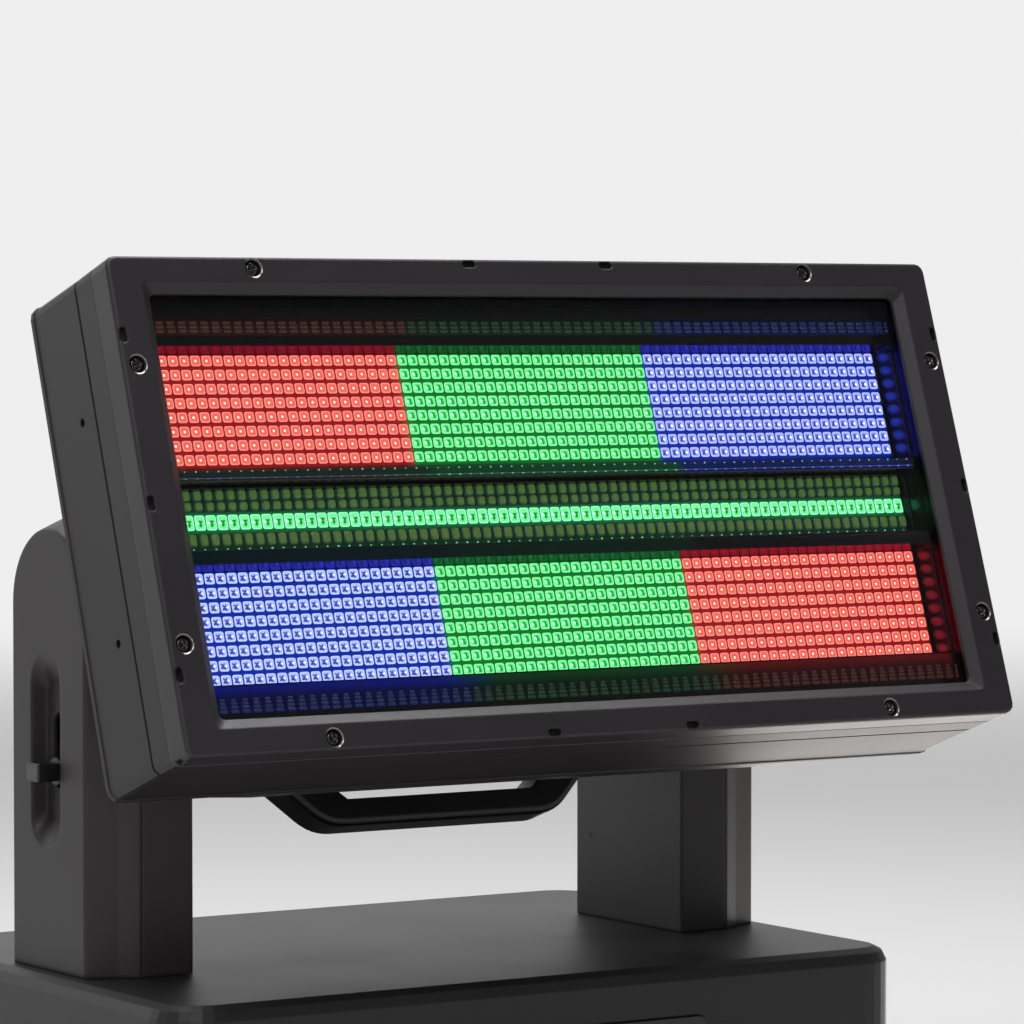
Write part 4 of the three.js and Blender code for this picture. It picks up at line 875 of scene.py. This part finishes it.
BAR_REACH = 210.0
BAR_RISE = 1.0
upper_bar_colours = [(18, 36, 28), (14, 54, 34), (10, 26, 72), (4, 8, 34)]
lower_bar_colours = [(8, 20, 24), (8, 26, 18), (14, 12, 13), (8, 8, 9)]
upper_bar = painted_bar_reflection("upper_bar_gloss", *[linear(*colour) for colour in upper_bar_colours])
lower_bar = painted_bar_reflection("lower_bar_gloss", *[linear(*colour) for colour in lower_bar_colours])


def lip(name, centre, width, look):
    """Half a round bar that lies along the tray's bar, closed at both ends."""
    build = Builder()
    steps = 8
    angles = [math.pi * i / steps for i in range(steps + 1)]
    ends = []
    for side in (-BAR_REACH, BAR_REACH):
        section = [(BAR_RISE * math.sin(a), centre + width / 2 * math.cos(a)) for a in angles]
        ends.append(build.points([(side, TRAY_FACE - rise, up) for rise, up in section]))
    for i in range(steps):
        build.cap((ends[0][i], ends[0][i + 1], ends[1][i + 1], ends[1][i]), 0)
    build.cap(ends[0], 0)
    build.cap(list(reversed(ends[1])), 0)
    build.piece(name, [look], "head", "tray_gloss", smooth=True)


lip("upper_bar_lip", centre=16.5, width=5.0, look=upper_bar)
lip("lower_bar_lip", centre=-21.65, width=6.5, look=lower_bar)

# Rows of tiny painted reflections, each with a share of its size, and thin lines of painted reflected light
GLINT_SHARES = (0.75, 1.15)
GLINT_TIP_SHARE = 0.6
GLINT_RISE = 0.08
LINE_RISE = 0.06


def glint_row(name, place, size, colours, slot):
    """A row of tiny painted reflections at the lamps' pitch, at a depth and height, in the three zones'
    colours.
    """
    build = Builder()
    depth, up = place
    width, height = size
    for c in range(COLUMNS):
        share = random.uniform(*GLINT_SHARES)
        outline = oval(width / 2 * share, height / 2 * share, 6)
        base = build.ring(outline, depth, column_x(c), up)
        small = [(x * GLINT_TIP_SHARE, u * GLINT_TIP_SHARE) for x, u in outline]
        tip = build.ring(small, depth - GLINT_RISE, column_x(c), up)
        build.dome([base, tip], c // ZONE)
    looks = [glowing(f"{name}_{i}", linear(*colour)) for i, colour in enumerate(colours)]
    build.piece(name, looks, "head", slot)


def glow_line(name, place, height, runs):
    """A thin ridge of painted reflected light at a depth and height, in runs from one x to the next."""
    build = Builder()
    looks = []
    depth, up = place
    low, high = up - height / 2, up + height / 2
    crest = depth - LINE_RISE
    for i, (start, end, colour) in enumerate(runs):
        foot = [(start, depth, low), (end, depth, low)]
        ridge = [(end, crest, up), (start, crest, up)]
        head = [(end, depth, high), (start, depth, high)]
        a, b, c, d, e, f = build.points(foot + ridge + head)
        build.cap((a, b, c, d), i)
        build.cap((d, c, e, f), i)
        looks.append(glowing(f"{name}_{i}", linear(*colour)))
    build.piece(name, looks, "head", "tray_gloss")


# Soft painted reflections of the lamps on the windows' right wall, one beside each row of lamps, brighter
# towards the core
WALL_X = 210.25
WALL_GAP = 0.06
WALL_RISE = 0.02
WALL_DEPTH = 22.6
WALL_REACH = 4.8
WALL_SHEAR = 0.28
WALL_DROP = 1.6
WALL_SHARES = (1.0, 0.82, 0.64, 0.46, 0.28)
PANEL_LIGHT = 4.8
STROBE_LIGHT = 6.0


def wall_lights(name, middles, height, edge, core):
    build = Builder()
    last = len(WALL_SHARES) - 1
    for middle in middles:
        rings = []
        for share in WALL_SHARES:
            x = WALL_X - WALL_GAP - WALL_RISE * (1 - share)
            outline = oval(WALL_REACH * share, height / 2 * share, 16)
            places = [(x, WALL_DEPTH + d, middle - WALL_DROP + u + WALL_SHEAR * d) for d, u in outline]
            rings.append(build.points(places))
        for step in range(last):
            build.wall(rings[step], rings[step + 1], step)
        build.cap(rings[last], last)
    looks = []
    for step in range(last + 1):
        colour = [low + (high - low) * (step / last) for low, high in zip(edge, core)]
        looks.append(glowing(f"{name}_{step}", linear(*colour)))
    build.piece(name, looks, "head", "tray_gloss")


upper_rows = [UPPER_TOP - row * PITCH_U for row in range(ROWS)]
lower_rows = [LOWER_TOP - row * PITCH_U for row in range(ROWS)]
wall_lights("wall_lights_blue", upper_rows, PANEL_LIGHT, (2, 12, 66), (0, 40, 148))
wall_lights("wall_lights_red", lower_rows, PANEL_LIGHT, (44, 4, 10), (112, 2, 22))
wall_lights("wall_lights_green", [STROBE_U], STROBE_LIGHT, (0, 34, 24), (4, 74, 46))

# Screen colours of the painted glints in the three zones, and of the painted lines from one x to the next
BAR_TOP = [(150, 166, 150), (128, 214, 166), (120, 168, 198)]
BAR_FOOT = [(104, 92, 124), (128, 204, 168), (140, 148, 220)]
STROBE_FOOT = [(120, 196, 176), (112, 206, 156), (120, 190, 180)]
LINE_RUNS = [(-209, -150, (78, 48, 110)), (-150, -95, (60, 46, 84))]
LINE_RUNS += [(-95, 70, (34, 92, 62)), (70, 209, (52, 60, 148))]
FOOT_RUNS = [(-209, -70, (46, 22, 26)), (-70, 70, (10, 36, 18)), (70, 209, (12, 22, 74))]
glint_row("upper_bar_glints_top", (15.15, 18.2), (1.0, 0.8), BAR_TOP, "tray_gloss")
glint_row("upper_bar_glints_foot", (15.15, 14.9), (1.6, 0.55), BAR_FOOT, "tray_gloss")
glint_row("strobe_foot_glints", (28.4, -14.3), (1.2, 0.7), STROBE_FOOT, "led_board")
glow_line("upper_bar_line", (15.2, 15.2), 0.6, LINE_RUNS)
glow_line("upper_bar_foot", (15.9, 13.9), 0.7, FOOT_RUNS)


# Bezel screws: pan heads with a cross recess, in seats with a polished rim
SCREW_PLACES = [(-155, 110.3), (155, 110.3), (-155, -110.3), (155, -110.3)]
SCREW_PLACES += [(-222.5, 64.6), (-222.5, -64.6), (222.5, 64.6), (222.5, -64.6)]
SCREW_RADIUS = 3.55
SCREW_FOOT = 2.2
SCREW_TOP = 0.45
SCREW_DOME = 0.1
SHOULDER_RADIUS = 2.3
SHOULDER_DROP = 1.0
CROSS_TURN = math.radians(26)
CROSS_SPREAD = 0.3
CROSS_REACH = 2.25
CROSS_FADE = 0.7
CROSS_HALF = 0.72
CROSS_DEPTH = 0.75
SEAT_RADIUS = 4.15
SEAT_SLOPE = math.radians(44)
SEAT_FOOT_RADIUS = 3.86
SEAT_FOOT = 0.4
SEAT_LAP = 0.1
SEAT_PROUD = 0.005
RIM_RADIUS = 4.75
RIM_SLOPE = math.radians(34)
RIM_PROUD = 0.015
screw_black = metal("screw_black", linear(76, 74, 74), (0.08, 0.14), (30, 1, 30), edge=0)
# Painted shade and highlight: the seats' dark chamfers, and the slots' paler rims
seat_painted_shade = coated("seat_painted_shade", linear(18, 18, 19), (0.5, 0.6), 1400, 0.00004, edge=0)
slot_rim_painted_highlight = coated("painted_highlight_rim", linear(96, 93, 95), (0.18, 0.26), 1400, 0.00004, edge=0, metal=0.4)
rim_bright = metal("bright_rim", linear(136, 132, 132), (0.2, 0.3), (30, 1, 30), edge=0)


def ease(value):
    value = min(1.0, max(0.0, value))
    return value * value * (3 - 2 * value)


def screw_depth(x, u, turn):
    """Depth of the head's surface at a point: a domed pan head with a cross of sloping grooves."""
    radius = math.hypot(x, u)
    shoulder = max(0.0, (radius - SHOULDER_RADIUS) / (SCREW_RADIUS - SHOULDER_RADIUS))
    depth = SCREW_TOP + SCREW_DOME * (radius / SCREW_RADIUS) ** 2 + SHOULDER_DROP * shoulder ** 2
    along = abs(x * math.cos(turn) + u * math.sin(turn))
    across = abs(u * math.cos(turn) - x * math.sin(turn))
    groove = max(0.0, 1 - min(along, across) / CROSS_HALF)
    groove *= ease((CROSS_REACH - max(along, across)) / CROSS_FADE)
    return depth + CROSS_DEPTH * groove


def screw_head(number, cx, cu):
    build = Builder()
    turn = CROSS_TURN + random.uniform(-CROSS_SPREAD, CROSS_SPREAD)
    steps = 56
    rings = [build.ring(oval(SCREW_RADIUS, SCREW_RADIUS, steps), SCREW_FOOT, cx, cu)]
    count = 26
    for i in range(count):
        radius = SCREW_RADIUS * (1 - i / count)
        outline = oval(radius, radius, steps)
        rings.append(build.points([(x + cx, screw_depth(x, u, turn), u + cu) for x, u in outline]))
    build.dome(rings, 0)
    name = f"screw_head_{number}"
    piece = build.piece(name, [screw_black], "head", "screw_black", smooth=True)
    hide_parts(f"bezel_screw_{number}")


def tilted_ring(build, normals, cx, cu):
    """A flat ring shaded as a shallow countersink, a hair in front of the face."""
    steps = 48
    rings = []
    for radius, slope in ((SEAT_RADIUS, SEAT_SLOPE), (RIM_RADIUS, RIM_SLOPE)):
        rings.append(build.ring(oval(radius, radius, steps), -RIM_PROUD, cx, cu))
        for x, u in oval(1.0, 1.0, steps):
            normals.append((-math.sin(slope) * x, -math.cos(slope), -math.sin(slope) * u))
        lay_on_edge(build, rings[-1])
    build.wall(rings[1], rings[0], 0)


EDGE_SINK_SHARE = 0.25


def edge_drop(u):
    """How far the bezel's rounded edge has fallen back at a height, and a little more for its flats."""
    past = abs(u) - (HEAD_HEIGHT / 2 - EDGE_ROUND)
    if past <= 0:
        return 0.0
    return EDGE_ROUND - math.sqrt(EDGE_ROUND ** 2 - past ** 2) + EDGE_SINK_SHARE * past


def lay_on_edge(build, ring):
    for index in ring:
        x, depth, u = build.verts[index]
        build.verts[index] = (x, depth + edge_drop(u), u)


# The moulded slots: two in the top and in the bottom edge, three in each side
SLOT_LONG = 7.4
SLOT_SHORT = 3.4
SLOT_INSET = 0.05
SLOT_INNER_CORNER = 1.67
SLOT_FOOT = 0.3
SLOT_GROWTH = 0.5
SLOT_OUTER_CORNER = 1.95
SLOT_TOP = 0.01
slots = [(x, u, SLOT_LONG, SLOT_SHORT) for u in (-113.2, 113.2) for x in (-38.5, 38.5)]
slots += [(x, u, SLOT_SHORT, SLOT_LONG) for x in (-227.2, 227.2) for u in (-78.5, 0.0, 78.5)]


def rims_with_painted_light():
    """Narrow rims round the screws' seats and the moulded slots. The seats' chamfers are painted dark as
    painted shade, and the slots' rims painted pale as a painted highlight.
    """
    build = Builder()
    normals = []
    for cx, cu in SCREW_PLACES:
        tilted_ring(build, normals, cx, cu)
    piece = build.piece("seat_rims", [rim_bright], "head", "head_paint", smooth=True)
    piece.data.normals_split_custom_set_from_vertices(normals)

    build = Builder()
    for cx, cu in SCREW_PLACES:
        inner = build.ring(oval(SEAT_FOOT_RADIUS, SEAT_FOOT_RADIUS, 40), SEAT_FOOT, cx, cu)
        outer = build.ring(oval(SEAT_RADIUS + SEAT_LAP, SEAT_RADIUS + SEAT_LAP, 40), -SEAT_PROUD, cx, cu)
        build.wall(outer, inner, 0)
    for cx, cu, width, height in slots:
        outline = rounded(width - SLOT_INSET, height - SLOT_INSET, SLOT_INNER_CORNER, 6)
        inner = build.ring(outline, SLOT_FOOT, cx, cu)
        outline = rounded(width + SLOT_GROWTH, height + SLOT_GROWTH, SLOT_OUTER_CORNER, 6)
        outer = build.ring(outline, SLOT_TOP, cx, cu)
        lay_on_edge(build, outer)
        build.wall(outer, inner, 1)
    build.piece("rims_with_painted_light", [seat_painted_shade, slot_rim_painted_highlight], "head", "head_paint")


for number, (cx, cu) in enumerate(SCREW_PLACES, 1):
    screw_head(number, cx, cu)
rims_with_painted_light()

# The frame's front edge shows beside the bezel as a thin light line, a painted highlight in a paler copy of
# the paint: depth, how far inside the head, corner
EDGE_FRONT = (15.52, 1.5, 4.3)
EDGE_BACK = (16.18, 0.1, 5.0)
edge_painted_highlight = coated("edge_painted_highlight", linear(104, 100, 104), (0.3, 0.4), 1500, 0.00005, edge=0)


def frame_edge():
    build = Builder()
    rings = []
    for depth, inside, corner in (EDGE_FRONT, EDGE_BACK):
        rings.append(build.ring(rounded(HEAD_WIDTH - inside, HEAD_HEIGHT - inside, corner, 4), depth))
    build.wall(*rings, 0)
    build.piece("frame_edge", [edge_painted_highlight], "head", "frame_paint")


frame_edge()

# The lever's knob is paler on its end: a flat with a fine edge, a hair in front of the knob
KNOB_Y = PIVOT.y + 0.6 * MM
KNOB_Z = PIVOT.z - 70 * MM
KNOB_GAP = 0.01 * MM
KNOB_EDGE = (10.4, 7.0, 1.4)
KNOB_FLAT = (9.8, 6.4, 1.2)
KNOB_RISE = 0.03


def knob_face():
    low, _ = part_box("lock_lever")
    build = Builder()
    outer = build.ring(rounded(*KNOB_EDGE, 4), 0.0)
    inner = build.ring(rounded(*KNOB_FLAT, 4), -KNOB_RISE)
    build.wall(outer, inner, 0)
    build.cap(inner, 0)
    place = Vector((low[0] - KNOB_GAP, KNOB_Y, KNOB_Z))
    at = Matrix.Translation(place) @ Matrix.Rotation(math.radians(-90), 4, "Z")
    build.piece("knob_face", [knob_pale_end], "lock_slider", "lever_metal", at=at)


knob_face()

# A small plugged hole low on the right arm's inner face
PLUG_PLACE = Vector((140.75, 34.5, -122.5)) * MM + PIVOT
PLUG_RADIUS = 1.5
PLUG_RIM_RADIUS = 1.9
PLUG_RIM_RISE = 0.02


def arm_plug():
    build = Builder()
    outer = build.ring(oval(PLUG_RIM_RADIUS, PLUG_RIM_RADIUS, 24), -PLUG_RIM_RISE)
    inner = build.ring(oval(PLUG_RADIUS, PLUG_RADIUS, 24), 0.0)
    build.wall(outer, inner, 0)
    build.cap(inner, 1)
    at = Matrix.Translation(PLUG_PLACE) @ Matrix.Rotation(math.radians(-90), 4, "Z")
    build.piece("arm_plug", [arm_coat, seal_rubber], "base_and_yoke", "arm_paint", at=at)


arm_plug()


# Studio
BACKDROP = (0.86, 0.86, 0.86, 1)
FLOOR_NEAR = 1.1
FLOOR_FAR = 4.5
FLOOR_LIT = (0.22, 0.22, 0.22, 1)
FLOOR_SEEN = (0.8, 0.8, 0.8, 1)
WORLD_STRENGTH = 0.17
BEHIND_START = 0.45
BEHIND_END = 0.8
LOW_AIM = (0.1, 0.0, 0.15)
CARD_PLACE = (0.62, 0.36, 0.004)
CARD_AIM = (0.62, 0.36, 1.0)
WARM = (1, 0.94, 0.88)


def seen_rays(nodes, links, path, share):
    """One for rays that show the backdrop: the camera's, and mirrored or transmitted ones, times a share."""
    mirrored = nodes.new("ShaderNodeMath")
    mirrored.operation = "MAXIMUM"
    links.new(path.outputs["Is Glossy Ray"], mirrored.inputs[0])
    links.new(path.outputs["Is Transmission Ray"], mirrored.inputs[1])
    result = mirrored.outputs["Value"]
    if share:
        scaled = nodes.new("ShaderNodeMath")
        scaled.operation = "MULTIPLY"
        links.new(result, scaled.inputs[0])
        links.new(share, scaled.inputs[1])
        result = scaled.outputs["Value"]
    both = nodes.new("ShaderNodeMath")
    both.operation = "MAXIMUM"
    links.new(path.outputs["Is Camera Ray"], both.inputs[0])
    links.new(result, both.inputs[1])
    return both.outputs["Value"]


def stage_plane():
    """A pale floor that keeps the shadow near the light and fades into the backdrop further out."""
    mesh = bpy.data.meshes.new("floor")
    corners = [(x * FLOOR_FAR, y * FLOOR_FAR, 0) for x, y in ((-1, -1), (1, -1), (1, 1), (-1, 1))]
    mesh.from_pydata(corners, [], [(0, 1, 2, 3)])
    mat, nodes, links, bsdf = new_material("floor")
    bsdf.inputs["Roughness"].default_value = 0.7
    bsdf.inputs["Specular IOR Level"].default_value = 0.2
    where = nodes.new("ShaderNodeTexCoord")
    length = nodes.new("ShaderNodeVectorMath")
    length.operation = "LENGTH"
    links.new(where.outputs["Object"], length.inputs[0])
    away = nodes.new("ShaderNodeMapRange")
    away.interpolation_type = "SMOOTHSTEP"
    away.inputs["From Min"].default_value = FLOOR_NEAR
    away.inputs["From Max"].default_value = FLOOR_FAR
    links.new(length.outputs["Value"], away.inputs["Value"])
    clear = nodes.new("ShaderNodeBsdfTransparent")
    path = nodes.new("ShaderNodeLightPath")
    tone = nodes.new("ShaderNodeMix")
    tone.data_type = "RGBA"
    tone.inputs["A"].default_value = FLOOR_LIT
    tone.inputs["B"].default_value = FLOOR_SEEN
    links.new(seen_rays(nodes, links, path, None), tone.inputs["Factor"])
    links.new(tone.outputs["Result"], bsdf.inputs["Base Color"])
    mix = nodes.new("ShaderNodeMixShader")
    links.new(away.outputs["Result"], mix.inputs["Fac"])
    links.new(bsdf.outputs["BSDF"], mix.inputs[1])
    links.new(clear.outputs["BSDF"], mix.inputs[2])
    links.new(mix.outputs["Shader"], nodes["Material Output"].inputs["Surface"])
    mesh.materials.append(mat)
    floor = bpy.data.objects.new("floor", mesh)
    bpy.context.scene.collection.objects.link(floor)


def area(name, place, target, size, energy, colour=(1, 1, 1)):
    """A rectangular light in metres and watts, turned towards its target."""
    data = bpy.data.lights.new(name, "AREA")
    data.shape = "RECTANGLE"
    data.size, data.size_y = size
    data.energy = energy
    data.color = colour
    lamp_object = bpy.data.objects.new(name, data)
    bpy.context.scene.collection.objects.link(lamp_object)
    lamp_object.location = place
    aim = Vector(target) - Vector(place)
    lamp_object.rotation_mode = "QUATERNION"
    lamp_object.rotation_quaternion = aim.to_track_quat("-Z", "Y")
    return lamp_object


def studio():
    stage_plane()
    target = PIVOT
    area("top", (0.3, 0.35, 2.3), target, (1.5, 1.3), 46)
    area("front_left", (-1.5, -1.35, 1.35), target, (0.9, 0.9), 3)
    area("high_left", (-1.1, -0.9, 2.1), target, (0.9, 0.9), 12)
    area("left", (-2.2, 0.1, 0.7), target, (1.0, 1.6), 0.5)
    area("low_left", (-1.4, -1.5, 0.32), LOW_AIM, (0.6, 0.4), 1.6)
    area("back_left", (-1.6, 2.0, 0.9), target, (1.2, 1.0), 1.5)
    area("right", (2.4, 0.4, 0.7), target, (0.8, 1.2), 0.5)
    card = area("table_card", CARD_PLACE, CARD_AIM, (0.7, 0.8), 4.8, WARM)
    card.visible_camera = False
    world = bpy.data.worlds.new("studio")
    world.use_nodes = True
    nodes = world.node_tree.nodes
    links = world.node_tree.links
    light = nodes["Background"]
    light.inputs["Color"].default_value = (1, 1, 1, 1)
    light.inputs["Strength"].default_value = WORLD_STRENGTH
    pale = nodes.new("ShaderNodeBackground")
    pale.inputs["Color"].default_value = BACKDROP
    pale.inputs["Strength"].default_value = 1.0
    path = nodes.new("ShaderNodeLightPath")
    mix = nodes.new("ShaderNodeMixShader")
    # The backdrop stands behind the light, so mirrors facing the dark half of the studio don't show it
    where = nodes.new("ShaderNodeTexCoord")
    split = nodes.new("ShaderNodeSeparateXYZ")
    links.new(where.outputs["Generated"], split.inputs["Vector"])
    behind = nodes.new("ShaderNodeMapRange")
    behind.interpolation_type = "SMOOTHSTEP"
    behind.inputs["From Min"].default_value = BEHIND_START
    behind.inputs["From Max"].default_value = BEHIND_END
    links.new(split.outputs["Y"], behind.inputs["Value"])
    links.new(seen_rays(nodes, links, path, behind.outputs["Result"]), mix.inputs["Fac"])
    links.new(light.outputs["Background"], mix.inputs[1])
    links.new(pale.outputs["Background"], mix.inputs[2])
    links.new(mix.outputs["Shader"], nodes["World Output"].inputs["Surface"])
    bpy.context.scene.world = world
    bpy.context.scene.view_settings.view_transform = "Standard"


studio()
